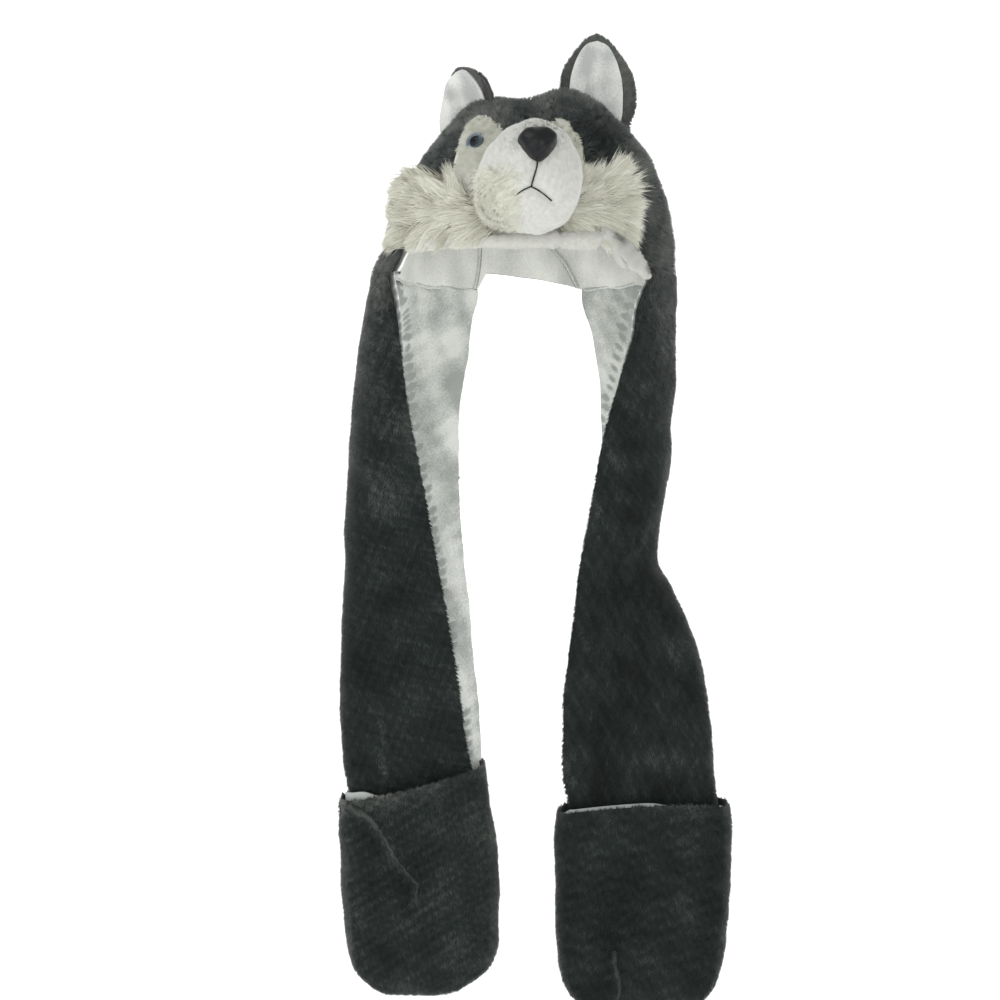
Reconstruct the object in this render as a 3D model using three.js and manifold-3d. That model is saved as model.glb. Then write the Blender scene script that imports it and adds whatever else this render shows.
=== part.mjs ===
// A plush husky hood with two scarf arms that end in mitten pockets.
// Millimetres, +Z up, the face looks towards -Y. The origin is the top of the hollow for the head.
// Left and right are the wearer's own: the wearer's left is +X.

import * as THREE from 'three';
import { mergeVertices } from 'three/addons/utils/BufferGeometryUtils.js';
import Module from 'manifold-3d';

const wasm = await Module();
wasm.setup();

// Driving dimensions

const GAP = 0.3;
const CROWN_PILE = 10;
const LINING = 3;
const ARM_PILE = 6;
const POCKET_PILE = 6;
const CROWN_TOP = CROWN_PILE + GAP + LINING;
const SIDE_RIM = -150;
const RIM_SEAM = 0.4;
const ARM_TOP = SIDE_RIM - RIM_SEAM;
const ARM_BLEND = 45;
const CURVED_GAP = 1.4 * GAP;

// How finely the cloth walls are faceted

const CROWN_COLUMNS = 30;
const CROWN_BANDS = 9;
const ARM_COLUMNS = 12;
const ARM_STEPS = 11;
const POCKET_COLUMNS = 16;
const POCKET_BANDS = 8;

// Colours of the cloths

const DARK_FUR = 0x33393a;
const CROWN_FUR = 0x484d4a;
const EAR_FUR = 0x555753;
const MASK_PLUSH = 0xc2c2b2;
const WHITE_PLUSH = 0xd4d4cc;
const CREAM_FUR = 0xdcd9c6;
const FLEECE = 0xc8cbc6;
const SATIN_BLACK = 0x1c1d1e;
const EYE_BLUE = 0x7d93a0;

// Named tables

function table(columns, rows) {
  return rows.map((row) => Object.fromEntries(columns.map((name, index) => [name, row[index]])));
}

// Half-widths of the crown, out from the origin's vertical line, from the top down.
const CROWN_ROWS = table(['z', 'right', 'left', 'front', 'back'], [
  [CROWN_TOP, 0, 0, 0, 0],
  [CROWN_TOP - 1, 26, 34, 24, 26],
  [8, 47, 62, 43, 47],
  [-3, 63, 79, 59, 65],
  [-18, 77, 95, 76, 84],
  [-38, 95, 110, 92, 101],
  [-62, 108, 119, 103, 112],
  [-92, 121, 126, 111, 120],
  [-122, 130, 131, 115, 124],
  [-152, 136, 134, 118, 127],
]);
const CROWN_ROUNDNESS = 2.15;

// The rim's height round the head. Turn is 0 at the face, 90 at the wearer's left, 180 behind.
const RIM_ROWS = table(['turn', 'z'], [
  [0, -126],
  [38, -128],
  [52, SIDE_RIM],
  [154, SIDE_RIM],
  [164, -144],
  [180, -137],
  [196, -128],
  [205, SIDE_RIM],
  [292, SIDE_RIM],
  [306, -129],
  [360, -126],
]);

// Bumps and dents of the soft crown, seen from above.
const CROWN_DENTS = table(['x', 'y', 'reach', 'height'], [
  [34, -14, 24, 11],
  [-30, -10, 20, 4.5],
  [-4, -22, 11, -3],
  [64, -4, 22, 5],
  [12, -34, 12, 3],
  [-62, -8, 20, 4],
  [92, -40, 20, 4],
  [0, 70, 30, -3],
]);

// Outline of the pale face, from its lower right corner over both brow lobes.
const MASK_OUTLINE = table(['x', 'z'], [
  [-78, -170],
  [-78, -118],
  [-72, -92],
  [-67, -69],
  [-65, -50],
  [-61, -32],
  [-55, -18],
  [-46, -11],
  [-37, -15],
  [-28, -26],
  [-12, -46],
  [8, -32],
  [20, -21],
  [30, -17],
  [38, -27],
  [43, -43],
  [47, -58],
  [50, -76],
  [58, -100],
  [62, -118],
  [62, -170],
]);

// Sections of the stuffed muzzle from its seam to its blunt front.
const MUZZLE_ROWS = table(['y', 'x', 'z', 'half', 'up', 'down'], [
  [-84, -7, -82, 43, 38, 42],
  [-106, -3, -82, 45, 42, 45],
  [-130, 1, -81, 45, 46, 48],
  [-152, 3, -81, 42, 46, 47],
  [-168, 5, -82, 37, 42, 43],
  [-180, 6, -84, 28, 34, 34],
  [-187, 6, -85, 15, 20, 20],
  [-189, 6, -85, 0, 0, 0],
]);

// The folded arms. Edge is the front hem, outer the fold, inner the back hem.
const ARM_COLUMN_NAMES = ['z', 'outer', 'edge', 'inner', 'front', 'back'];
const RIGHT_ARM_ROWS = table(ARM_COLUMN_NAMES, [
  [-150, -136, -120, -46, -44, 111],
  [-180, -142, -120, -49, -44, 105],
  [-209, -149, -118, -52, -44, 98],
  [-284, -163, -107, -62, -40, 76],
  [-358, -167, -93, -60, -34, 56],
  [-432, -169, -80, -57, -28, 42],
  [-507, -173, -67, -51, -22, 29],
  [-581, -171, -57, -44, -15, 18],
  [-612, -168, -51, -43, -11, 14],
  [-645, -163, -49, -46, -10, 13],
]);
const LEFT_ARM_ROWS = table(ARM_COLUMN_NAMES, [
  [-150, 134, 104, 57, -73, 114],
  [-209, 137, 96, 68, -70, 100],
  [-246, 137, 85, 72, -63, 89],
  [-302, 134, 70, 75, -52, 74],
  [-360, 126, 61, 74, -42, 60],
  [-409, 119, 51, 69, -34, 50],
  [-440, 134, 46, 67, -30, 44],
  [-470, 149, 43, 64, -27, 38],
  [-507, 161, 38, 60, -23, 32],
  [-544, 168, 34, 57, -17, 24],
  [-618, 171, 33, 52, -11, 14],
  [-648, 172, 40, 52, -10, 13],
]);

// The mitten pockets, from the mouth down to the bottom seam.
const POCKET_COLUMN_NAMES = ['z', 'low', 'high', 'depth'];
const RIGHT_POCKET_ROWS = table(POCKET_COLUMN_NAMES, [
  [-604, -175, -38, 27],
  [-645, -174, -33, 27],
  [-690, -173, -27, 27],
  [-732, -171, -25, 27],
  [-768, -168, -26, 25],
  [-792, -162, -36, 20],
  [-808, -148, -54, 14],
  [-817, -124, -78, 7],
  [-819, -101, -101, 0],
]);
const LEFT_POCKET_ROWS = table(POCKET_COLUMN_NAMES, [
  [-628, 30, 188, 27],
  [-665, 27, 191, 27],
  [-705, 28, 190, 27],
  [-748, 29, 187, 27],
  [-785, 32, 182, 25],
  [-812, 40, 173, 19],
  [-827, 54, 158, 13],
  [-836, 82, 130, 7],
  [-838, 106, 106, 0],
]);

// The plane between the front and the back of both pockets.
const POCKET_MIDDLE = -4;
// The mouth of a pocket: height of its front rim at both ends, how far the back rises above it
// and how far it dips between its ends.
const RIGHT_MOUTH = { low: -636, high: -603, backRise: 3, dip: 4 };
const LEFT_MOUTH = { low: -647, high: -640, backRise: 3, dip: -5 };

// Ears. Across is the turn of the open side from the face, lean tips the ear back, roll sideways.
// The hems are the fur left bare beside the lining, at the edge towards -X, towards +X and at the tip.
const EAR_ROWS = table(
  ['side', 'x', 'y', 'z', 'width', 'height', 'across', 'lean', 'roll', 'cup', 'lowHem', 'highHem', 'tipHem'],
  [
    ['left', 66, -12, -8, 68, 84, 8, 6, 1, 15, 7, 10, 8],
    ['right', -49, -13, -25, 65, 79, -45, 5, -25, 16, 2.5, 12, 6],
  ],
);
const NO_HEM = { lowHem: 0, highHem: 0, tipHem: 0 };
const EAR_OUTLINE = table(['up', 'half'], [
  [0, 0.86],
  [0.16, 0.98],
  [0.34, 1],
  [0.52, 0.93],
  [0.69, 0.74],
  [0.84, 0.49],
  [0.95, 0.24],
  [1, 0],
]);
const EAR_PILE = 7;
const EAR_LINING = 2.5;
const EAR_SEAT = 0.8;
const EAR_TIP_CURL = 0.12;
const EAR_CUP_FADE = 0.55;
const EAR_EDGE_THINNING = 0.45;

// Rows of long locks on a cheek: share of the way down it, length, upward lift and number of locks.
const RUFF_LOCKS = table(['down', 'length', 'lift', 'count'], [
  [0.12, 36, 0.7, 4],
  [0.48, 40, 0.1, 4],
  [0.85, 36, -0.5, 4],
]);
// Each ruff runs round its cheek from the muzzle to the side of the head.
const RUFFS = table(['side', 'from', 'to', 'innerTop', 'crest', 'outerTop', 'bottom', 'sweep'], [
  ['left', 19, 66, -64, -48, -44, -124, 1],
  ['right', 348, 284, -104, -56, -56, -122, -1],
]);
const RUFF_BACKING = 6;
const LOCK_WIDTH = 24;
const LOCK_ROOT_DEPTH = 8;
const LOCK_OUTWARD = 0.35;
const LOCK_FALL = 0.5;

// Numbers and curves

const radians = THREE.MathUtils.degToRad;
const mix = THREE.MathUtils.lerp;
const smoothstep = THREE.MathUtils.smoothstep;

function hermite(a, b, slopeA, slopeB, span, t) {
  const t2 = t * t;
  const t3 = t2 * t;
  const start = (2 * t3 - 3 * t2 + 1) * a + (t3 - 2 * t2 + t) * span * slopeA;
  const end = (-2 * t3 + 3 * t2) * b + (t3 - t2) * span * slopeB;
  return start + end;
}

// A smooth value of one column of a table at any place along its key column, with no overshoot.
function along(rows, key, column, place) {
  const rising = rows[rows.length - 1][key] > rows[0][key];
  const last = rows.length - 1;
  let index = rows.findIndex((row) => (rising ? row[key] > place : row[key] < place)) - 1;
  if (index < 0) {
    index = (rising ? place >= rows[last][key] : place <= rows[last][key]) ? last - 1 : 0;
  }
  const slope = (i, j) => (rows[j][column] - rows[i][column]) / (rows[j][key] - rows[i][key]);
  const tangent = (i) => {
    const before = slope(Math.max(i - 1, 0), Math.max(i, 1));
    const after = slope(Math.min(i, last - 1), Math.min(i + 1, last));
    return before * after <= 0 ? 0 : (2 * before * after) / (before + after);
  };
  const a = rows[index];
  const b = rows[index + 1];
  const span = b[key] - a[key];
  const t = THREE.MathUtils.clamp((place - a[key]) / span, 0, 1);
  return hermite(a[column], b[column], tangent(index), tangent(index + 1), span, t);
}

// The same along the rows themselves: 0 at the first row and 1 at the last.
function downRows(rows, column, share) {
  const keyed = rows.map((row, index) => ({ step: index / (rows.length - 1), value: row[column] }));
  return along(keyed, 'step', 'value', share);
}

function signedPower(value, power) {
  return Math.sign(value) * Math.abs(value) ** power;
}

// Evenly spaced points on a path of 2D or 3D vectors.
function resample(points, count) {
  const lengths = [0];
  for (let i = 1; i < points.length; i += 1) {
    lengths.push(lengths[i - 1] + points[i].distanceTo(points[i - 1]));
  }
  const total = lengths[lengths.length - 1];
  const result = [];
  let segment = 1;
  for (let i = 0; i < count; i += 1) {
    const target = (total * i) / (count - 1);
    while (segment < points.length - 1 && lengths[segment] < target) {
      segment += 1;
    }
    const t = (target - lengths[segment - 1]) / (lengths[segment] - lengths[segment - 1]);
    result.push(points[segment - 1].clone().lerp(points[segment], t));
  }
  return result;
}

// Solids from grids of points

function cleanGeometry(positions, triangles) {
  const raw = new THREE.BufferGeometry();
  raw.setAttribute('position', new THREE.Float32BufferAttribute(positions, 3));
  raw.setIndex(triangles);
  const merged = mergeVertices(raw, 0.001);
  const index = merged.index.array;
  const kept = [];
  for (let i = 0; i < index.length; i += 3) {
    const [a, b, c] = [index[i], index[i + 1], index[i + 2]];
    if (a !== b && b !== c && c !== a) {
      kept.push(a, b, c);
    }
  }
  merged.setIndex(kept);
  return outward(merged);
}

function outward(geometry) {
  const place = geometry.attributes.position;
  const index = geometry.index.array;
  const [a, b, c] = [new THREE.Vector3(), new THREE.Vector3(), new THREE.Vector3()];
  let volume = 0;
  for (let i = 0; i < index.length; i += 3) {
    a.fromBufferAttribute(place, index[i]);
    b.fromBufferAttribute(place, index[i + 1]);
    c.fromBufferAttribute(place, index[i + 2]);
    volume += a.dot(b.cross(c));
  }
  if (volume < 0) {
    const flipped = [];
    for (let i = 0; i < index.length; i += 3) {
      flipped.push(index[i], index[i + 2], index[i + 1]);
    }
    geometry.setIndex(flipped);
  }
  return geometry;
}

// A closed wall between two grids of the same size. A wrapped grid joins its last column to its first.
function wall(outer, inner, wrap = false) {
  const rows = outer.length;
  const columns = outer[0].length;
  const positions = [...outer.flat(), ...inner.flat()].flatMap((p) => [p.x, p.y, p.z]);
  const at = (side, row, column) => side * rows * columns + row * columns + (column % columns);
  const triangles = [];
  const quad = (a, b, c, d) => triangles.push(a, b, c, a, c, d);
  const across = wrap ? columns : columns - 1;
  for (let row = 0; row < rows - 1; row += 1) {
    for (let column = 0; column < across; column += 1) {
      const next = column + 1;
      quad(at(0, row, column), at(0, row, next), at(0, row + 1, next), at(0, row + 1, column));
      quad(at(1, row, column), at(1, row + 1, column), at(1, row + 1, next), at(1, row, next));
    }
  }
  for (let column = 0; column < across; column += 1) {
    const next = column + 1;
    const end = rows - 1;
    quad(at(0, 0, next), at(0, 0, column), at(1, 0, column), at(1, 0, next));
    quad(at(0, end, column), at(0, end, next), at(1, end, next), at(1, end, column));
  }
  if (!wrap) {
    const end = columns - 1;
    for (let row = 0; row < rows - 1; row += 1) {
      quad(at(0, row, 0), at(0, row + 1, 0), at(1, row + 1, 0), at(1, row, 0));
      quad(at(0, row + 1, end), at(0, row, end), at(1, row, end), at(1, row + 1, end));
    }
  }
  return cleanGeometry(positions, triangles);
}

// A solid body through rings of points, closed at both ends by its first and last ring's middle.
function loft(rings) {
  const middle = (ring) => {
    const sum = ring.reduce((total, point) => total.add(point), new THREE.Vector3());
    return ring.map(() => sum.clone().divideScalar(ring.length));
  };
  const grid = [middle(rings[0]), ...rings, middle(rings[rings.length - 1])];
  const columns = rings[0].length;
  const triangles = [];
  for (let row = 0; row < grid.length - 1; row += 1) {
    for (let column = 0; column < columns; column += 1) {
      const [a, b] = [row * columns + column, row * columns + ((column + 1) % columns)];
      triangles.push(a, b, b + columns, a, b + columns, a + columns);
    }
  }
  return cleanGeometry(grid.flat().flatMap((p) => [p.x, p.y, p.z]), triangles);
}

// The normals of a grid, taken from its neighbours' places.
function gridNormals(grid, wrap, centre) {
  const rows = grid.length;
  const columns = grid[0].length;
  return grid.map((line, row) => line.map((point, column) => {
    const left = wrap ? (column + columns - 1) % columns : Math.max(column - 1, 0);
    const right = wrap ? (column + 1) % columns : Math.min(column + 1, columns - 1);
    const acrossWay = line[right].clone().sub(line[left]);
    const upper = grid[Math.max(row - 1, 0)][column];
    const lower = grid[Math.min(row + 1, rows - 1)][column];
    const normal = acrossWay.cross(lower.clone().sub(upper));
    if (normal.lengthSq() < 1e-6) {
      return new THREE.Vector3(0, 0, 1);
    }
    normal.normalize();
    return normal.dot(point.clone().sub(centre)) < 0 ? normal.negate() : normal;
  }));
}

function offsetGrid(grid, normals, distance) {
  return grid.map((line, row) => line.map((point, column) => (
    point.clone().addScaledVector(normals[row][column], distance)
  )));
}

// Joining and cutting

function toSolid(geometry) {
  const plain = geometry.clone();
  plain.deleteAttribute('normal');
  plain.deleteAttribute('uv');
  const merged = mergeVertices(plain, 0.001);
  return new wasm.Manifold(new wasm.Mesh({
    numProp: 3,
    vertProperties: new Float32Array(merged.attributes.position.array),
    triVerts: new Uint32Array(merged.index.array),
  }));
}

function toGeometry(solid) {
  const pieces = solid.decompose();
  pieces.sort((a, b) => b.volume() - a.volume());
  const mesh = pieces[0].getMesh();
  const geometry = new THREE.BufferGeometry();
  geometry.setAttribute('position', new THREE.Float32BufferAttribute(mesh.vertProperties, 3));
  geometry.setIndex([...mesh.triVerts]);
  return geometry;
}

function cut(geometry, ...cutters) {
  return toGeometry(cutters.reduce((rest, cutter) => rest.subtract(toSolid(cutter)), toSolid(geometry)));
}

function common(geometry, other) {
  return toGeometry(toSolid(geometry).intersect(toSolid(other)));
}

function joined(geometries) {
  return toGeometry(geometries.map(toSolid).reduce((sum, part) => sum.add(part)));
}

// The crown

function turnOf(x, y) {
  return (THREE.MathUtils.radToDeg(Math.atan2(x, -y)) + 360) % 360;
}

// A point of the smooth crown at a turn round the head and a share of the way down to its lowest row.
function crownPoint(turn, share) {
  const angle = radians(turn);
  const side = Math.sin(angle) < 0 ? 'right' : 'left';
  const end = Math.cos(angle) > 0 ? 'front' : 'back';
  const power = 2 / CROWN_ROUNDNESS;
  const x = signedPower(Math.sin(angle), power) * downRows(CROWN_ROWS, side, share);
  const y = -signedPower(Math.cos(angle), power) * downRows(CROWN_ROWS, end, share);
  return new THREE.Vector3(x, y, downRows(CROWN_ROWS, 'z', share));
}

// The share of the way down at which the crown reaches a height.
function shareAt(z) {
  let low = 0;
  let high = 1;
  for (let i = 0; i < 30; i += 1) {
    const middle = (low + high) / 2;
    if (downRows(CROWN_ROWS, 'z', middle) > z) {
      low = middle;
    } else {
      high = middle;
    }
  }
  return (low + high) / 2;
}

function dentAt(point) {
  return CROWN_DENTS.reduce((sum, dent) => {
    const reach = Math.hypot(point.x - dent.x, point.y - dent.y) / dent.reach;
    return sum + dent.height * Math.exp(-reach * reach);
  }, 0);
}

function crownGrid() {
  const grid = [];
  for (let band = 0; band <= CROWN_BANDS; band += 1) {
    const line = [];
    for (let column = 0; column < CROWN_COLUMNS; column += 1) {
      const turn = (360 * column) / CROWN_COLUMNS;
      const rimShare = shareAt(along(RIM_ROWS, 'turn', 'z', turn));
      line.push(crownPoint(turn, (rimShare * band) / CROWN_BANDS));
    }
    grid.push(line);
  }
  return grid;
}

const CROWN_CENTRE = new THREE.Vector3(0, 0, -90);

function crownLayers() {
  const smooth = crownGrid();
  const normals = gridNormals(smooth, true, CROWN_CENTRE);
  return { smooth, normals };
}

// The rim lies level, so each layer of it keeps the height of the smooth crown's rim.
function levelRim(grid, smooth) {
  const last = grid.length - 1;
  grid[last].forEach((point, column) => {
    point.z = smooth[last][column].z;
  });
  return grid;
}

function crownShell() {
  const { smooth, normals } = crownLayers();
  const outer = smooth.map((line, row) => line.map((point, column) => (
    point.clone().addScaledVector(normals[row][column], dentAt(point))
  )));
  return wall(levelRim(outer, smooth), levelRim(offsetGrid(smooth, normals, -CROWN_PILE), smooth), true);
}

function crownLining() {
  const { smooth, normals } = crownLayers();
  const outer = offsetGrid(smooth, normals, -(CROWN_PILE + CURVED_GAP));
  const inner = offsetGrid(smooth, normals, -(CROWN_PILE + GAP + LINING));
  return wall(levelRim(outer, smooth), levelRim(inner, smooth), true);
}

// The whole head of the hood as one solid block. Grown by a gap, it is cut from all that is sewn on.
function crownBlock(clearance) {
  const { smooth, normals } = crownLayers();
  const outer = smooth.map((line, row) => line.map((point, column) => (
    point.clone().addScaledVector(normals[row][column], dentAt(point) + clearance)
  )));
  const foot = outer[outer.length - 1].map((point) => point.clone().setZ(point.z - clearance));
  return loft([...outer.slice(1), foot]);
}

// A block in front of the head with the outline of the pale face. What the crown's wall has inside it
// is the face.
function maskBlock(clearance) {
  const points = MASK_OUTLINE.map((row) => new THREE.Vector2(row.x, row.z));
  const moved = points.map((point, index) => {
    const before = points[(index + points.length - 1) % points.length];
    const after = points[(index + 1) % points.length];
    const way = after.clone().sub(before).normalize();
    return point.clone().add(new THREE.Vector2(-way.y, way.x).multiplyScalar(clearance));
  });
  const shape = new THREE.Shape(moved);
  const [behind, depth] = [-20, 200];
  const block = new THREE.ExtrudeGeometry(shape, { depth, bevelEnabled: false });
  block.rotateX(Math.PI / 2);
  block.translate(0, behind, 0);
  return toPlain(block);
}

// An extruded geometry without its index, normals and uv, ready to be merged.
function toPlain(geometry) {
  const place = [...geometry.attributes.position.array];
  const count = place.length / 3;
  const index = geometry.index ? [...geometry.index.array] : [...Array(count).keys()];
  return cleanGeometry(place, index);
}

// The rolled hem under the front of the rim, between two turns round the head.
const BRIM_ROLL = { radius: 7.5, from: -54, to: 36, inset: 4, steps: 15 };

function brimRoll() {
  const points = [];
  for (let step = 0; step <= BRIM_ROLL.steps; step += 1) {
    const turn = mix(BRIM_ROLL.from, BRIM_ROLL.to, step / BRIM_ROLL.steps);
    const around = (turn + 360) % 360;
    const rim = along(RIM_ROWS, 'turn', 'z', around);
    const point = crownPoint(around, shareAt(rim));
    const inward = new THREE.Vector3(-point.x, -point.y, 0).normalize();
    const drop = GAP + BRIM_ROLL.radius;
    points.push(point.addScaledVector(inward, BRIM_ROLL.inset).setZ(rim - drop));
  }
  const path = new THREE.CatmullRomCurve3(points);
  const section = new THREE.Shape();
  section.absarc(0, 0, BRIM_ROLL.radius, 0, 2 * Math.PI);
  const roll = new THREE.ExtrudeGeometry(section, {
    steps: BRIM_ROLL.steps,
    curveSegments: 4,
    extrudePath: path,
  });
  return toPlain(roll);
}

// The muzzle, the nose and the eyes

function ovalRing(row, count, growth) {
  const ring = [];
  for (let i = 0; i < count; i += 1) {
    const angle = (2 * Math.PI * i) / count;
    const height = Math.sin(angle) > 0 ? row.up : row.down;
    const x = row.x + (row.half + growth) * Math.cos(angle);
    const z = row.z + (height + growth) * Math.sin(angle);
    ring.push(new THREE.Vector3(x, row.y, z));
  }
  return ring;
}

function muzzleBlock(growth) {
  const sections = 9;
  const columns = 20;
  const rings = [];
  for (let i = 0; i <= sections; i += 1) {
    const share = i / sections;
    const row = {};
    for (const column of ['y', 'x', 'z', 'half', 'up', 'down']) {
      row[column] = downRows(MUZZLE_ROWS, column, share);
    }
    row.y -= growth * share;
    rings.push(ovalRing(row, columns, growth));
  }
  return loft(rings);
}

// The nose is an egg, narrower below, and tipped back at its top.
const NOSE_SIZE = { width: 33, height: 30, depth: 26 };
const NOSE_NARROWING = 0.75;
const NOSE_TIP = -12;
const NOSE_PLACE = new THREE.Vector3(6, -184, -63);

function noseBlob() {
  const nose = new THREE.SphereGeometry(0.5, 12, 9);
  const place = nose.attributes.position;
  for (let i = 0; i < place.count; i += 1) {
    const [x, y, z] = [place.getX(i), place.getY(i), place.getZ(i)];
    const narrow = z < 0 ? 1 + NOSE_NARROWING * z : 1;
    place.setXYZ(i, x * narrow * NOSE_SIZE.width, y * NOSE_SIZE.depth, z * NOSE_SIZE.height);
  }
  nose.rotateX(radians(NOSE_TIP));
  nose.translate(NOSE_PLACE.x, NOSE_PLACE.y, NOSE_PLACE.z);
  return toPlain(nose);
}

const EYES = table(['side', 'x', 'z', 'tilt'], [
  ['right', -48, -41, 32],
  ['left', 20, -42, -32],
]);
const EYE_SIZE = { length: 19, height: 13, depth: 11 };

// The place on the front half of the crown at a width and a height.
function crownSurfaceAt(x, z) {
  const share = shareAt(z);
  let [low, high] = [-88, 88];
  for (let i = 0; i < 30; i += 1) {
    const middle = (low + high) / 2;
    const point = crownPoint((middle + 360) % 360, share);
    if (point.x < x) {
      low = middle;
    } else {
      high = middle;
    }
  }
  return crownPoint((low + 360) % 360, share);
}

function eyeBead(eye) {
  const bead = new THREE.SphereGeometry(0.5, 10, 8);
  bead.scale(EYE_SIZE.length, EYE_SIZE.depth, EYE_SIZE.height);
  bead.rotateY(radians(-eye.tilt));
  const seat = crownSurfaceAt(eye.x, eye.z);
  bead.rotateZ(radians(turnOf(seat.x, seat.y)));
  bead.translate(seat.x, seat.y, seat.z);
  return toPlain(bead);
}

// The ears

function earFrame(ear) {
  const turn = new THREE.Euler(radians(-ear.lean), radians(ear.roll), radians(ear.across), 'ZYX');
  return new THREE.Matrix4().makeRotationFromEuler(turn).setPosition(ear.x, ear.y, ear.z);
}

// One surface of an ear: the hems narrow it, and depth moves it back from the open side.
function earGrid(ear, hems, depth, rows, columns) {
  const frame = earFrame(ear);
  const grid = [];
  const height = ear.height - hems.tipHem;
  for (let row = 0; row <= rows; row += 1) {
    const up = row / rows;
    const outline = along(EAR_OUTLINE, 'up', 'half', up);
    const half = (outline * (ear.width - hems.lowHem - hems.highHem)) / 2;
    const middle = (outline * (hems.lowHem - hems.highHem)) / 2;
    const line = [];
    for (let column = 0; column <= columns; column += 1) {
      const across = (2 * column) / columns - 1;
      const x = middle + across * half;
      const reach = x / (ear.width / 2);
      const cup = (1 - reach * reach) * (1 - EAR_CUP_FADE * up) - EAR_TIP_CURL * up;
      const edge = row === rows ? 1 : Math.abs(across) ** 3;
      const thickness = depth * (1 - EAR_EDGE_THINNING * edge);
      line.push(new THREE.Vector3(x, ear.cup * cup + thickness, up * height));
    }
    grid.push(row === rows ? line.map(() => line[columns / 2].clone()) : line);
  }
  return grid.map((line) => line.map((point) => point.applyMatrix4(frame)));
}

function earFur(ear) {
  const [rows, columns] = [8, 8];
  return wall(earGrid(ear, NO_HEM, EAR_PILE, rows, columns), earGrid(ear, NO_HEM, 0, rows, columns));
}

function earLining(ear) {
  const [rows, columns] = [7, 6];
  const back = earGrid(ear, ear, -EAR_SEAT, rows, columns);
  return wall(back, earGrid(ear, ear, -(EAR_SEAT + EAR_LINING), rows, columns));
}

// The cheek ruffs

// A place on the cheek: share of the way round from the muzzle and share of the way down.
function cheekPoint(ruff, round, down) {
  const turn = mix(ruff.from, ruff.to, round);
  const rise = Math.sin((Math.PI / 2) * Math.min(round / 0.5, 1));
  const inner = mix(ruff.innerTop, ruff.crest, rise);
  const top = round < 0.5 ? inner : mix(ruff.crest, ruff.outerTop, 2 * round - 1);
  return crownPoint(turn, shareAt(mix(top, ruff.bottom, down)));
}

function ruffPatch(ruff) {
  const [columns, rows] = [7, 4];
  const grid = [];
  for (let row = 0; row <= rows; row += 1) {
    const places = Array.from({ length: columns + 1 }, (_, column) => column / columns);
    grid.push(places.map((round) => cheekPoint(ruff, round, row / rows)));
  }
  const normals = gridNormals(grid, false, CROWN_CENTRE);
  return wall(offsetGrid(grid, normals, RUFF_BACKING), offsetGrid(grid, normals, -1));
}

// A lock is a bent spike: flat and wide at its root, falling in a curve to a point.
function lock(root, way, fall, length) {
  const half = root.clone().addScaledVector(way, length * 0.5);
  const tip = half.clone().addScaledVector(fall, length * 0.5);
  const start = root.clone().addScaledVector(way, -LOCK_ROOT_DEPTH);
  const curve = new THREE.QuadraticBezierCurve3(start, half, tip);
  const widths = [0.85, 0.9, 0.5, 0.04];
  const flatness = 0.5;
  const sides = 4;
  const rings = widths.map((share, step) => {
    const place = curve.getPoint(step / (widths.length - 1));
    const tangent = curve.getTangent(step / (widths.length - 1));
    const outwards = new THREE.Vector3(root.x, root.y, 0).normalize();
    const across = outwards.cross(tangent).normalize();
    const over = tangent.clone().cross(across);
    const ring = [];
    for (let i = 0; i < sides; i += 1) {
      const angle = (2 * Math.PI * i) / sides;
      const radius = (LOCK_WIDTH / 2) * share;
      ring.push(place.clone()
        .addScaledVector(across, radius * Math.cos(angle))
        .addScaledVector(over, flatness * radius * Math.sin(angle)));
    }
    return ring;
  });
  return loft(rings);
}

function cheekRuff(ruff) {
  const parts = [ruffPatch(ruff)];
  for (const band of RUFF_LOCKS) {
    for (let i = 0; i < band.count; i += 1) {
      const share = (i + 0.6) / band.count;
      const root = cheekPoint(ruff, share, band.down);
      const outwards = new THREE.Vector3(root.x, root.y, 0).normalize();
      const sideways = new THREE.Vector3(-outwards.y, outwards.x, 0).multiplyScalar(ruff.sweep);
      const way = sideways.clone().addScaledVector(outwards, LOCK_OUTWARD)
        .add(new THREE.Vector3(0, 0, band.lift)).normalize();
      const fall = sideways.clone().multiplyScalar(0.8)
        .add(new THREE.Vector3(0, 0, band.lift - LOCK_FALL)).normalize();
      const length = band.length * (0.75 + 0.25 * share);
      parts.push(lock(root.addScaledVector(outwards, RUFF_BACKING * 0.6), way, fall, length));
    }
  }
  return joined(parts);
}

// The scarf arms

// How far back the fold lies, as a share of the front and back depths added up.
const FOLD_PLACE = 0.2;

// The open fold of an arm at one height, from its front hem round the outer fold to its back hem.
// Each half leaves the fold square as an arc. Where it is wider than deep a straight stretch follows.
function foldCurve(rows, z) {
  const row = {};
  for (const column of ARM_COLUMN_NAMES) {
    row[column] = along(rows, 'z', column, z);
  }
  const way = Math.sign(row.edge - row.outer);
  const middle = FOLD_PLACE * (row.front + row.back);
  const points = [];
  const arc = (hem, depth, towardsFold) => {
    const [wide, deep] = [Math.abs(hem - row.outer), Math.abs(depth)];
    const radius = wide < deep ? (wide * wide + deep * deep) / (2 * wide) : deep;
    const end = wide < deep ? Math.asin(deep / radius) : Math.PI / 2;
    const steps = 12;
    for (let i = 0; i <= steps; i += 1) {
      const angle = end * (towardsFold ? 1 - i / steps : i / steps);
      points.push(new THREE.Vector2(
        row.outer + way * radius * (1 - Math.cos(angle)),
        middle + Math.sign(depth) * radius * Math.sin(angle),
      ));
    }
  };
  points.push(new THREE.Vector2(row.edge, row.front));
  arc(row.edge, row.front - middle, true);
  arc(row.inner, row.back - middle, false);
  points.push(new THREE.Vector2(row.inner, row.back));
  return points.filter((point, index) => index === 0 || point.distanceTo(points[index - 1]) > 0.01);
}

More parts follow.
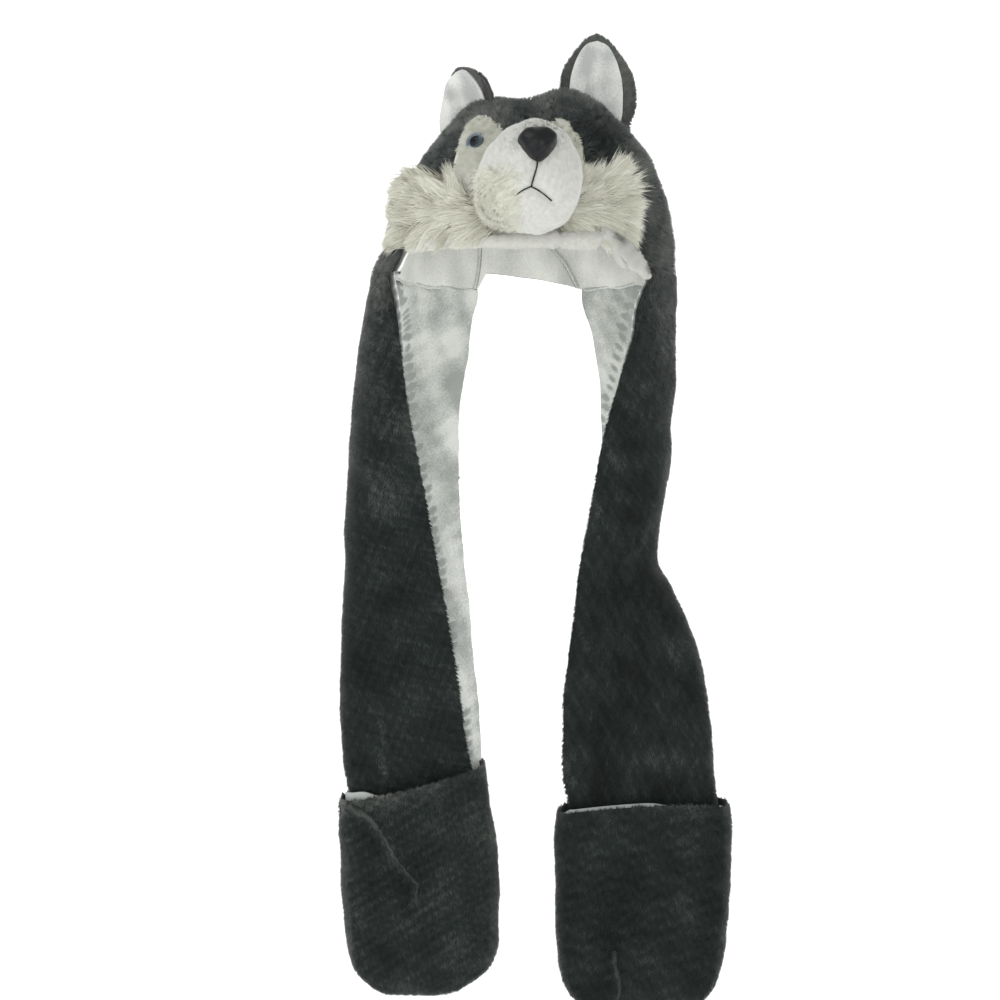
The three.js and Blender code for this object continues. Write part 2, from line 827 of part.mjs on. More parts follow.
// The stretch of the crown's rim that an arm hangs from.
function rimCurve(rows) {
  const top = rows[0];
  const from = turnOf(top.edge, top.front);
  const to = turnOf(top.inner, top.back);
  const share = shareAt(SIDE_RIM);
  const steps = 30;
  const points = [];
  for (let i = 0; i <= steps; i += 1) {
    points.push(crownPoint(mix(from, to, i / steps), share));
  }
  return points.map((point) => new THREE.Vector2(point.x, point.y));
}

// One surface of an arm's wall, inset from its outer face. It leaves the rim and eases into the fold.
function armGrid(rows, end, inset) {
  const columns = ARM_COLUMNS;
  const rim = resample(rimCurve(rows), columns);
  const inwardTurn = Math.sign(rows[0].outer);
  const heights = Array.from({ length: ARM_STEPS + 1 }, (_, i) => mix(ARM_TOP, end, i / ARM_STEPS));
  return heights.map((z) => {
    const fold = resample(foldCurve(rows, z), columns);
    const share = smoothstep(ARM_TOP - z, 0, ARM_BLEND);
    const line = fold.map((point, i) => rim[i].clone().lerp(point, share));
    return line.map((point, i) => {
      const before = line[Math.max(i - 1, 0)];
      const after = line[Math.min(i + 1, columns - 1)];
      const way = after.clone().sub(before).normalize();
      const inward = new THREE.Vector2(-way.y, way.x).multiplyScalar(inwardTurn * inset);
      return new THREE.Vector3(point.x + inward.x, point.y + inward.y, z);
    });
  });
}

function armFur(rows, end) {
  return wall(armGrid(rows, end, 0), armGrid(rows, end, ARM_PILE));
}

function armLining(rows, end) {
  const near = ARM_PILE + 2 * GAP;
  return wall(armGrid(rows, end, near), armGrid(rows, end, near + LINING));
}

// The mitten pockets

// A level ring of a pocket: flat front and back, round at both sides.
function pocketRing(low, high, depth, z) {
  const points = [];
  const half = (high - low) / 2;
  const side = Math.min(half, depth);
  const spread = 1.6;
  for (let i = 0; i < POCKET_COLUMNS; i += 1) {
    const angle = (2 * Math.PI * (i + 0.5)) / POCKET_COLUMNS;
    const cosine = Math.cos(angle);
    const flat = (half - side) * THREE.MathUtils.clamp(spread * cosine, -1, 1);
    const x = (low + high) / 2 + flat + side * cosine;
    points.push(new THREE.Vector3(x, POCKET_MIDDLE + depth * Math.sin(angle), z));
  }
  return points;
}

// The height of a pocket's rim above or below a point.
function mouthHeight(rows, mouth, point) {
  const share = THREE.MathUtils.clamp((point.x - rows[0].low) / (rows[0].high - rows[0].low), 0, 1);
  const back = point.y > 0 ? mouth.backRise : 0;
  const dip = mouth.dip * Math.sin(Math.PI * share);
  return mix(mouth.low, mouth.high, share) - dip + back;
}

// One surface of a pocket's wall, inset from its outer face. The slant of its mouth fades out below.
function pocketGrid(rows, mouth, inset) {
  const bands = POCKET_BANDS;
  const slantReach = 0.55;
  const bottom = rows[rows.length - 1].z;
  const top = Math.max(mouth.low, mouth.high);
  const grid = [];
  for (let band = 0; band <= bands; band += 1) {
    const fall = Math.sin((Math.PI / 2) * (band / bands));
    const z = mix(top, bottom, fall);
    const low = along(rows, 'z', 'low', z);
    const high = along(rows, 'z', 'high', z);
    const depth = Math.max(along(rows, 'z', 'depth', z), 0);
    const narrow = Math.min(inset, (high - low) / 2);
    const lifted = z + (inset * (top - z)) / (top - bottom);
    const ring = pocketRing(low + narrow, high - narrow, Math.max(depth - inset, 0), lifted);
    const point = new THREE.Vector3((low + high) / 2, POCKET_MIDDLE, lifted);
    grid.push(band === bands ? ring.map(() => point) : ring);
  }
  return grid.map((line, band) => line.map((point) => {
    const rise = mouthHeight(rows, mouth, point) - top;
    const share = 1 - smoothstep(band / bands, 0, slantReach);
    return point.clone().setZ(point.z + rise * share);
  }));
}

// The space that the two walls of a pocket take up, a gap larger. It is cut from the arm's end, which
// lies inside the mouth.
function pocketSpace(rows, mouth) {
  const inner = POCKET_PILE + LINING + 2 * GAP;
  const rise = 2;
  const raised = { ...mouth, low: mouth.low + rise, high: mouth.high + rise };
  return wall(pocketGrid(rows, raised, -GAP), pocketGrid(rows, raised, inner), true);
}

function mittenPocket(rows, mouth) {
  return wall(pocketGrid(rows, mouth, 0), pocketGrid(rows, mouth, POCKET_PILE), true);
}

function pocketLining(rows, mouth) {
  const near = POCKET_PILE + 2 * GAP;
  return wall(pocketGrid(rows, mouth, near), pocketGrid(rows, mouth, near + LINING - GAP), true);
}

// The whole hat

function piece(name, geometry, colour, roughness = 0.95) {
  geometry.computeVertexNormals();
  const finish = new THREE.MeshStandardMaterial({ color: colour, roughness, metalness: 0 });
  const mesh = new THREE.Mesh(geometry, finish);
  mesh.name = name;
  return mesh;
}

function hood() {
  const group = new THREE.Group();
  const shell = crownShell();
  group.add(piece('crown_fur', cut(shell, maskBlock(GAP)), CROWN_FUR));
  group.add(piece('face_mask', common(shell, maskBlock(0)), MASK_PLUSH));
  group.add(piece('crown_lining', crownLining(), FLEECE));
  group.add(piece('brim_roll', cut(brimRoll(), crownBlock(GAP), muzzleBlock(GAP)), FLEECE));
  return group;
}

function face() {
  const group = new THREE.Group();
  const head = crownBlock(GAP);
  group.add(piece('muzzle', cut(muzzleBlock(0), head), WHITE_PLUSH));
  group.add(piece('nose', cut(noseBlob(), muzzleBlock(GAP)), SATIN_BLACK, 0.45));
  for (const eye of EYES) {
    const bead = cut(eyeBead(eye), head, muzzleBlock(GAP));
    group.add(piece(`eye_${eye.side}`, bead, EYE_BLUE, 0.12));
  }
  for (const ruff of RUFFS) {
    const fur = cut(cheekRuff(ruff), head, muzzleBlock(GAP));
    group.add(piece(`cheek_ruff_${ruff.side}`, fur, CREAM_FUR));
  }
  return group;
}

function ears() {
  const group = new THREE.Group();
  const head = crownBlock(GAP);
  for (const ear of EAR_ROWS) {
    group.add(piece(`ear_fur_${ear.side}`, cut(earFur(ear), head), EAR_FUR));
    group.add(piece(`ear_lining_${ear.side}`, cut(earLining(ear), head), FLEECE));
  }
  return group;
}

const ARMS = [
  { side: 'left', rows: LEFT_ARM_ROWS, end: -668, pocket: LEFT_POCKET_ROWS, mouth: LEFT_MOUTH },
  { side: 'right', rows: RIGHT_ARM_ROWS, end: -662, pocket: RIGHT_POCKET_ROWS, mouth: RIGHT_MOUTH },
];

function scarf() {
  const group = new THREE.Group();
  for (const arm of ARMS) {
    const space = pocketSpace(arm.pocket, arm.mouth);
    group.add(piece(`arm_fur_${arm.side}`, cut(armFur(arm.rows, arm.end), space), DARK_FUR));
    group.add(piece(`arm_lining_${arm.side}`, cut(armLining(arm.rows, arm.end), space), FLEECE));
    group.add(piece(`mitten_pocket_${arm.side}`, mittenPocket(arm.pocket, arm.mouth), DARK_FUR));
    group.add(piece(`pocket_lining_${arm.side}`, pocketLining(arm.pocket, arm.mouth), FLEECE));
  }
  return group;
}

const hat = new THREE.Group();
hat.add(hood(), face(), ears(), scarf());

export default hat;
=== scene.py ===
# The looks of a plush husky hood with scarf arms that end in mitten pockets.
# Shapes are worked out in millimetres in the part's own frame and turned into metres at the end.
# Left and right are the wearer's own: the wearer's left is +X, and the face looks towards -Y.

import math

import bmesh
import bpy
import numpy as np
from mathutils import Matrix, Vector


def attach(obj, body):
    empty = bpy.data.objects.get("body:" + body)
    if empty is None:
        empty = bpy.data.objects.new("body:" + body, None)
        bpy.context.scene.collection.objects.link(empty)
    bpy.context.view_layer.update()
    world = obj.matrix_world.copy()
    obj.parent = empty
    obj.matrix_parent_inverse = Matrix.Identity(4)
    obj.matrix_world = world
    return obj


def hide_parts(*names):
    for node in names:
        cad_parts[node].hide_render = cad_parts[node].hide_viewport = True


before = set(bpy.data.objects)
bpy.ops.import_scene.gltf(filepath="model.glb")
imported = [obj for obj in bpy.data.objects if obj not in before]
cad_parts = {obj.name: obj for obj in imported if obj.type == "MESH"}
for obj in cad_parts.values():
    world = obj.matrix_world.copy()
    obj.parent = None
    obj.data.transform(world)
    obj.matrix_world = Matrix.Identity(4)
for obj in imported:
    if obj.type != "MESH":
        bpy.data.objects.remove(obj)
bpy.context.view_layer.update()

# Driving dimensions, the same as the part's own

GAP = 0.3
CROWN_PILE = 10
LINING = 3
ARM_PILE = 6
POCKET_PILE = 6
CROWN_TOP = CROWN_PILE + GAP + LINING
SIDE_RIM = -150
ARM_TOP = SIDE_RIM - 0.4
ARM_BLEND = 45
BACKING = 0.8
POCKET_MIDDLE = -4


def table(names, rows):
    values = np.array(rows, float)
    return {name: values[:, index] for index, name in enumerate(names.split())}


CROWN_ROWS = table("z right left front back", [
    [CROWN_TOP, 0, 0, 0, 0],
    [CROWN_TOP - 1, 26, 34, 24, 26],
    [8, 47, 62, 43, 47],
    [-3, 63, 79, 59, 65],
    [-18, 77, 95, 76, 84],
    [-38, 95, 110, 92, 101],
    [-62, 108, 119, 103, 112],
    [-92, 121, 126, 111, 120],
    [-122, 130, 131, 115, 124],
    [-152, 136, 134, 118, 127],
])
CROWN_ROUNDNESS = 2.15
RIM_ROWS = table("turn z", [
    [0, -127.5],
    [22, -127],
    [29, -124],
    [40, SIDE_RIM],
    [154, SIDE_RIM],
    [164, -144],
    [180, -137],
    [197, -133],
    [200.5, SIDE_RIM],
    [290, SIDE_RIM],
    [303, -128],
    [315, -124.5],
    [335, -125.5],
    [360, -127.5],
])
CROWN_DENTS = table("x y reach height", [
    [34, -14, 24, 11],
    [-30, -10, 20, 4.5],
    [-24, -12, 12, 2],
    [-2, -22, 12, -5.5],
    [20, -20, 9, 2.5],
    [64, -4, 22, 5],
    [12, -34, 12, 3],
    [-62, -8, 20, 4],
    [92, -40, 20, 4],
    [0, 70, 30, -0.6],
])
# How far the soft cloth swells past the part's own form at its two sides.
SWELL = table("z right left", [
    [13, 0, 0],
    [0, 2, 2],
    [-14, 4, 3],
    [-42, 5, 6.5],
    [-55, 4, 8],
    [-97, 3, 9.5],
    [-116, 3, 8.5],
    [-130, 7, 7.5],
    [-150, 10, 6.5],
    [-170, 12, 6.5],
    [-190, 9, 3],
    [-209, 7, 2],
    [-246, 3.5, 2],
    [-284, 1.5, -1.5],
    [-321, 1, 3],
    [-395, 1, 3],
    [-430, 1, 0.5],
    [-544, 1, 1],
    [-590, 2, 5],
    [-650, 2, 5],
])
MASK_OUTLINE = table("x z", [
    [-78, -170],
    [-78, -118],
    [-72, -92],
    [-67, -69],
    [-65, -50],
    [-61, -32],
    [-55, -18],
    [-46, -11],
    [-37, -15],
    [-28, -26],
    [-12, -46],
    [8, -32],
    [20, -21],
    [30, -17],
    [38, -27],
    [43, -43],
    [47, -58],
    [50, -76],
    [58, -100],
    [62, -118],
    [62, -170],
])
MUZZLE_ROWS = table("y x z half up down", [
    [-84, -7, -82, 43, 38, 42],
    [-106, -3, -82, 45, 42, 45],
    [-130, 1, -81, 45, 46, 48],
    [-152, 3, -81, 42, 46, 47],
    [-168, 5, -82, 37, 42, 43],
    [-180, 6, -84, 28, 34, 34],
    [-187, 6, -85, 15, 20, 20],
    [-189, 6, -85, 0, 0, 0],
])
ARM_COLUMNS = "z outer edge inner front back"
RIGHT_ARM_ROWS = table(ARM_COLUMNS, [
    [-150, -136, -120, -50, -44, 111],
    [-180, -142, -120, -54, -44, 105],
    [-209, -149, -118, -56, -44, 98],
    [-284, -163, -107, -65, -40, 76],
    [-358, -167, -93, -64, -34, 56],
    [-432, -169, -80, -58, -28, 42],
    [-507, -173, -67, -51, -22, 29],
    [-581, -171, -57, -44, -15, 18],
    [-612, -168, -51, -43, -11, 14],
    [-645, -163, -49, -46, -10, 13],
])
LEFT_ARM_ROWS = table(ARM_COLUMNS, [
    [-150, 134, 104, 60, -73, 114],
    [-209, 137, 96, 71, -70, 100],
    [-246, 137, 85, 75, -63, 89],
    [-302, 134, 69, 76, -52, 74],
    [-360, 126, 59, 74, -42, 60],
    [-409, 119, 50, 69, -34, 50],
    [-440, 134, 46, 67, -30, 44],
    [-470, 149, 43, 64, -27, 38],
    [-507, 161, 38, 60, -23, 32],
    [-544, 168, 34, 57, -17, 24],
    [-618, 171, 33, 52, -11, 14],
    [-648, 172, 40, 52, -10, 13],
])
POCKET_COLUMNS = "z low high depth"
RIGHT_POCKET_ROWS = table(POCKET_COLUMNS, [
    [-604, -175, -38, 27],
    [-645, -174, -33, 27],
    [-690, -173, -27, 27],
    [-732, -171, -25, 27],
    [-768, -168, -26, 25],
    [-792, -162, -36, 20],
    [-808, -148, -54, 14],
    [-817, -124, -78, 7],
    [-819, -101, -101, 0],
])
LEFT_POCKET_ROWS = table(POCKET_COLUMNS, [
    [-628, 28, 187, 27],
    [-665, 24, 190, 27],
    [-705, 24, 189, 27],
    [-748, 25, 186, 27],
    [-785, 28, 181, 25],
    [-812, 36, 172, 19],
    [-827, 52, 158, 13],
    [-836, 82, 130, 7],
    [-838, 106, 106, 0],
])
RIGHT_MOUTH = {"low": -636, "high": -603, "back_rise": 3, "dip": 4}
LEFT_MOUTH = {"low": -647, "high": -640, "back_rise": 3, "dip": -5}
EARS = {
    "left": {
        "place": (66, -12, -8), "width": 68, "height": 84, "turns": (8, 6, 1),
        "cup": 15, "hems": (7, 10, 7),
    },
    "right": {
        "place": (-51, -11, -25), "width": 70, "height": 80, "turns": (-45, 5, -25),
        "cup": 16, "hems": (1, 10, 3.5),
    },
}
EAR_OUTLINE = table("up half", [
    [0, 0.86],
    [0.16, 0.98],
    [0.34, 1],
    [0.52, 0.93],
    [0.69, 0.74],
    [0.84, 0.49],
    [0.95, 0.24],
    [1, 0],
])
NO_HEM = (0, 0, 0)
RUFFS = {
    "left": {
        "from": 12, "to": 38.5, "inner": -84, "crest": -83, "outer": -70, "bottom": -123,
        "sweep": 1, "origin": 18, "level": 0.05, "flare": 0.1, "droop": 0.5, "tone": 0.52,
    },
    "right": {
        "from": 345, "to": 290, "inner": -112, "crest": -80, "outer": -62, "bottom": -125,
        "sweep": -1, "origin": 325, "level": 0.5, "flare": 0.7, "droop": 0.25, "tone": 0.45,
    },
}

# Numbers and fields


def unit(vectors):
    length = np.linalg.norm(vectors, axis=-1, keepdims=True)
    return vectors / np.maximum(length, 1e-9)


def smooth(values, low, high):
    t = np.clip((values - low) / (high - low), 0, 1)
    return t * t * (3 - 2 * t)


# A smooth value of one column of a table at places along its key column, with no overshoot.
def along(rows, key, column, places):
    keys, values = rows[key], rows[column]
    if keys[-1] < keys[0]:
        keys, values = keys[::-1], values[::-1]
    slope = np.diff(values) / np.diff(keys)
    before = np.concatenate([slope[:1], slope])
    after = np.concatenate([slope, slope[-1:]])
    product = before * after
    total = np.where(product > 0, before + after, 1)
    tangent = np.where(product > 0, 2 * product / total, 0)
    index = np.clip(np.searchsorted(keys, places, side="right") - 1, 0, len(keys) - 2)
    span = keys[index + 1] - keys[index]
    t = np.clip((places - keys[index]) / span, 0, 1)
    start = (2 * t**3 - 3 * t**2 + 1) * values[index] + (t**3 - 2 * t**2 + t) * span * tangent[index]
    end = (3 * t**2 - 2 * t**3) * values[index + 1] + (t**3 - t**2) * span * tangent[index + 1]
    return start + end


# The same along the rows themselves: 0 at the first row and 1 at the last.
def down_rows(rows, column, share):
    keyed = {"step": np.linspace(0, 1, len(rows[column])), "value": rows[column]}
    return along(keyed, "step", "value", share)


# Soft random hills from -1 to 1 over space, made of a few waves of about one length.
def hills(points, size, seed):
    source = np.random.default_rng(seed)
    total = np.zeros(points.shape[:-1])
    count = 7
    for _ in range(count):
        way = unit(source.normal(size=3)) * (2 * math.pi / size) * source.uniform(0.6, 1.5)
        total += np.sin(points @ way + source.uniform(0, 2 * math.pi))
    return total / math.sqrt(count) / 1.2


# Evenly spaced points along a path.
def resample(path, count):
    steps = np.linalg.norm(np.diff(path, axis=0), axis=1)
    lengths = np.concatenate([[0], np.cumsum(steps)])
    places = np.linspace(0, lengths[-1], count)
    return np.stack([np.interp(places, lengths, path[:, k]) for k in range(path.shape[1])], axis=1)


# A field of vectors from three fields or numbers.
def vectors(x, y, z):
    return np.stack(np.broadcast_arrays(x, y, z), axis=-1)


# How strongly a point lies on a crease: 1 on its line, fading over its width. Lines run in X and Z.
def crease(points, line, width):
    nearest = np.full(points.shape[:-1], 1e3)
    for (x0, z0), (x1, z1) in zip(line, line[1:]):
        way = np.array([x1 - x0, z1 - z0], float)
        offset = points[..., [0, 2]] - [x0, z0]
        t = np.clip(offset @ way / (way @ way), 0, 1)
        nearest = np.minimum(nearest, np.linalg.norm(offset - t[..., None] * way, axis=-1))
    return np.exp(-((nearest / width) ** 2))


# The sum of a table's round bumps. Its columns are two places, a reach and a height.
def bumps(rows, first, second):
    total = np.zeros(first.shape)
    for first_place, second_place, reach, height in zip(*rows.values()):
        away = np.hypot(first - first_place, second - second_place) / reach
        total += height * np.exp(-away * away)
    return total


# The normals of a grid of points, turned outward. Where a row has shrunk to a point they look up or down.
def normals_of(grid, wrap, outward=None):
    if wrap:
        across = np.roll(grid, -1, 1) - np.roll(grid, 1, 1)
    else:
        across = np.gradient(grid, axis=1)
    normal = np.cross(across, np.gradient(grid, axis=0))
    length = np.linalg.norm(normal, axis=2, keepdims=True)
    pole = np.zeros(grid.shape)
    pole[..., 2] = np.sign(grid[..., 2] - grid[..., 2].mean())
    normal = np.where(length > 1e-7, normal / np.maximum(length, 1e-7), pole)
    away = grid - grid.mean(axis=1, keepdims=True) if outward is None else np.array(outward, float)
    good = length[..., 0] > 1e-7
    if np.sum((normal * away)[good]) < 0:
        normal[good] *= -1
    return normal


# A surface to build on: a grid of points with its normals. Moving it in or out keeps its columns.
class Skin:
    def __init__(self, grid, wrap=False, outward=None, normals=None):
        self.grid = grid
        self.wrap = wrap
        self.normals = normals_of(grid, wrap, outward) if normals is None else normals

    def moved(self, distance):
        distance = np.asarray(distance)
        step = distance[..., None] if distance.ndim else distance
        return Skin(self.grid + self.normals * step, self.wrap, normals=self.normals)

    def at(self, values, cells, s, t):
        row, column = cells
        across = (column + 1) % self.grid.shape[1]
        s, t = s[:, None], t[:, None]
        top = values[row, column] * (1 - s) + values[row, across] * s
        low = values[row + 1, column] * (1 - s) + values[row + 1, across] * s
        return top * (1 - t) + low * t


# Meshes


def new_mesh(name, points, faces, material):
    mesh = bpy.data.meshes.new(name)
    faces = np.asarray(faces, np.int32)
    mesh.vertices.add(len(points))
    mesh.vertices.foreach_set("co", (np.asarray(points) * 0.001).astype(np.float32).ravel())
    mesh.loops.add(faces.size)
    mesh.loops.foreach_set("vertex_index", faces.ravel())
    mesh.polygons.add(len(faces))
    mesh.polygons.foreach_set("loop_start", np.arange(len(faces), dtype=np.int32) * faces.shape[1])
    mesh.polygons.foreach_set("use_smooth", np.ones(len(faces), bool))
    mesh.update(calc_edges=True)
    mesh.materials.append(material)
    piece = bpy.data.objects.new(name, mesh)
    bpy.context.scene.collection.objects.link(piece)
    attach(piece, "root")
    return piece


# Gives a piece the tone that its material reads: one for each point, or one for all.
def set_tone(piece, values):
    layer = piece.data.attributes.new("tone", "FLOAT", "POINT")
    tones = np.broadcast_to(np.asarray(values, np.float32), len(piece.data.vertices))
    layer.data.foreach_set("value", np.ascontiguousarray(tones))


# Hides the part's solid whose place the pieces take, if one is named.
def dress(slot, node, *pieces):
    if node:
        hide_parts(node)


# The places of a piece's points, in millimetres.
def points_of(piece):
    flat = np.empty(3 * len(piece.data.vertices), np.float32)
    piece.data.vertices.foreach_get("co", flat)
    return flat.reshape(-1, 3).astype(float) * 1000


# A closed wall between two grids of the same size, or between their kept cells.
def wall(name, outer, inner, material, keep=None):
    rows, columns = outer.grid.shape[:2]
    size = rows * columns
    if keep is None:
        keep = np.ones((rows - 1, columns if outer.wrap else columns - 1), bool)
    row, column = np.nonzero(keep)
    after = (column + 1) % columns
    a, b = row * columns + column, (row + 1) * columns + column
    c, d = (row + 1) * columns + after, row * columns + after
    faces = [np.stack([a, b, c, d], axis=1), np.stack([d, c, b, a], axis=1) + size]
    around = np.pad(keep, 1)
    if outer.wrap:
        around[:, 0] = around[:, -2]
        around[:, -1] = around[:, 1]
    for down, across, p, q in ((-1, 0, d, a), (0, -1, a, b), (1, 0, b, c), (0, 1, c, d)):
        bare = ~around[1 + row + down, 1 + column + across]
        faces.append(np.stack([q[bare], p[bare], p[bare] + size, q[bare] + size], axis=1))
    points = np.concatenate([outer.grid.reshape(-1, 3), inner.grid.reshape(-1, 3)])
    piece = new_mesh(name, points, np.concatenate(faces), material)
    mend(piece)
    piece.data.set_sharp_from_angle(angle=math.radians(62))
    return piece


# Joins points that meet, drops what has no size and turns all faces outward.
def mend(piece):
    work = bmesh.new()
    work.from_mesh(piece.data)
    bmesh.ops.remove_doubles(work, verts=work.verts, dist=2e-6)
    bmesh.ops.dissolve_degenerate(work, edges=work.edges, dist=1e-6)
    loose = [vertex for vertex in work.verts if not vertex.link_faces]
    bmesh.ops.delete(work, geom=loose, context="VERTS")
    bmesh.ops.recalc_face_normals(work, faces=work.faces)
    work.to_mesh(piece.data)
    work.free()
    piece.data.polygons.foreach_set("use_smooth", np.ones(len(piece.data.polygons), bool))


# The faces of a tube through rings of points.
def tube_faces(rings, around):
    row, column = np.meshgrid(np.arange(rings - 1), np.arange(around), indexing="ij")
    after = (column + 1) % around
    corners = [row * around + column, (row + 1) * around + column]
    corners += [(row + 1) * around + after, row * around + after]
    return np.stack(corners, axis=-1).reshape(-1, 4)


# A closed body through rings of points, with a flat or pointed cap at both ends.
def loft(name, grid, material):
    ends = [end.mean(axis=1, keepdims=True) for end in (grid[:1], grid[-1:])]
    caps = [np.repeat(end, grid.shape[1], axis=1) for end in ends]
    whole = np.concatenate([caps[0], grid, caps[1]])
    piece = new_mesh(name, whole.reshape(-1, 3), tube_faces(*whole.shape[:2]), material)
    mend(piece)
    return piece


# A round, slightly beaded thread along each of some paths.
def thread(name, paths, radius, material, sides=8):
    points, faces = [], []
    for path in paths:
        path = resample(np.array(path, float), 40)
        way = unit(np.gradient(path, axis=0))
        side = unit(np.cross(way, [0, 1, 0]))
        over = np.cross(way, side)
        angle = np.arange(sides) * 2 * math.pi / sides
        beads = 1 + 0.18 * np.sin(np.arange(len(path)) * 1.9)
        ring = np.cos(angle)[None, :, None] * side[:, None] + np.sin(angle)[None, :, None] * over[:, None]
        rings = path[:, None] + radius * beads[:, None, None] * ring
        faces.append(tube_faces(len(path), sides) + sum(len(part) for part in points))
        points.append(rings.reshape(-1, 3))
    return new_mesh(name, np.concatenate(points), np.concatenate(faces), material)


# Hair, as flat tapered ribbons

# Each hair is a ribbon of some steps that leaves its root one way and ends up another.
# The tone runs from the root's to the tip's, for the material to read. Relief turns a hair's shading away
# from the skin's, and twist turns the ribbon itself.
def ribbons(name, roots, normals, way, fall, length, width, steps, tone, material, seed, relief, twist):
    source = np.random.default_rng(seed)
    count = len(roots)
    length = np.broadcast_to(length, count)[:, None]
    side = unit(np.cross(way, normals))
    turned = source.normal(0, twist, (count, 1))
    side = unit(side + np.cross(way, side) * turned)
    points, tones, shading = [], [], []
    for step in range(steps + 1):
        t = step / steps
        place = roots + length * (way * (t - 0.5 * t * t) + fall * 0.5 * t * t)
        half = 0.5 * width * (1 - t) ** 0.7
        here = tone[0] + (tone[1] - tone[0]) * t**0.8
        ends = [place - side * half, place + side * half] if step < steps else [place]
        for end in ends:
            points.append(end)
            tones.append(here)
            shading.append(unit(normals + relief * unit(np.cross(side, way)) + 0.7 * relief * way * t))
    per_hair = 2 * steps + 1
    faces = []
    for step in range(steps - 1):
        a, b, c, d = 2 * step, 2 * step + 1, 2 * step + 2, 2 * step + 3
        faces += [[a, b, d], [a, d, c]]
    faces.append([2 * steps - 2, 2 * steps - 1, 2 * steps])
    faces = np.array(faces)
    all_faces = (np.arange(count)[:, None, None] * per_hair + faces[None]).reshape(-1, 3)
    points = np.stack(points, axis=1).reshape(-1, 3)
    piece = new_mesh(name, points, all_faces, material)
    set_tone(piece, np.stack(tones, axis=1).ravel())
    piece.data.normals_split_custom_set_from_vertices(np.stack(shading, axis=1).reshape(-1, 3))
    lay_map(piece, count, steps, faces)
    return piece


# Gives each hair a small cell of its own in a map, so that its colours can be kept in a picture.
def lay_map(piece, count, steps, faces):
    cells = math.ceil(math.sqrt(count))
    hair = np.arange(count)
    corner = np.stack([hair % cells, hair // cells], axis=1) / cells
    places = []
    for step in range(steps):
        places += [[0.12, 0.12 + 0.76 * step / steps], [0.88, 0.12 + 0.76 * step / steps]]
    places.append([0.5, 0.88])
    cell = np.array(places)[faces.ravel()] / cells
    layer = piece.data.uv_layers.new(name="OFBake")
    layer.data.foreach_set("uv", (corner[:, None, :] + cell[None]).astype(np.float32).ravel())


# The coats of pile, in millimetres. A hair leans by an angle up from the cloth, with its neighbours in clumps of
# a size and singly astray. Its tone varies by patches, from hair to hair and from root to tip.
COAT_COLUMNS = "count length width lean muss stray clump patch fleck tip relief twist steps"
COATS = {
    "hood_pile": [88000, 7.5, 1.15, 44, 0.85, 0.25, 11, 0.13, 0.06, 0.26, 0.35, 0.35, 1],
    "face_pile": [26000, 3.4, 0.85, 28, 0.6, 0.25, 9, 0.12, 0.06, 0.16, 0.15, 0.15, 1],
    "brim_nap": [14000, 2, 0.8, 34, 0.5, 0.25, 7, 0.05, 0.04, 0.14, 0.2, 0.35, 1],
    "brim_lobe_pile": [6000, 5.4, 1, 38, 0.9, 0.25, 11, 0.1, 0.06, 0.22, 0.3, 0.3, 1],
    "muzzle_pile": [72000, 2.7, 0.8, 27, 0.55, 0.2, 7, 0.09, 0.05, 0.2, 0.15, 0.12, 1],
    "muzzle_curls": [3500, 4.2, 0.9, 38, 1, 0.25, 5, 0.1, 0.06, 0.2, 0.2, 0.15, 1],
    "muzzle_fringe": [11000, 8, 0.9, 26, 0.7, 0.25, 10, 0.12, 0.06, 0.22, 0.2, 0.15, 2],
    "ear_pile": [14000, 4.8, 1, 38, 0.5, 0.25, 8, 0.07, 0.06, 0.24, 0.35, 0.35, 1],
    "ear_rim": [6500, 4.6, 0.95, 40, 0.4, 0.25, 7, 0.07, 0.06, 0.24, 0.35, 0.35, 1],
    "arm_pile": [82000, 4.3, 1.15, 34, 0.5, 0.25, 10, 0.12, 0.06, 0.22, 0.35, 0.35, 1],
    "pocket_pile": [58000, 4.3, 1.15, 34, 0.55, 0.25, 10, 0.12, 0.06, 0.22, 0.35, 0.35, 1],
    "pocket_fold": [2600, 2.8, 0.75, 16, 0.6, 0.25, 8, 0.08, 0.06, 0.2, 0.35, 0.35, 1],
}


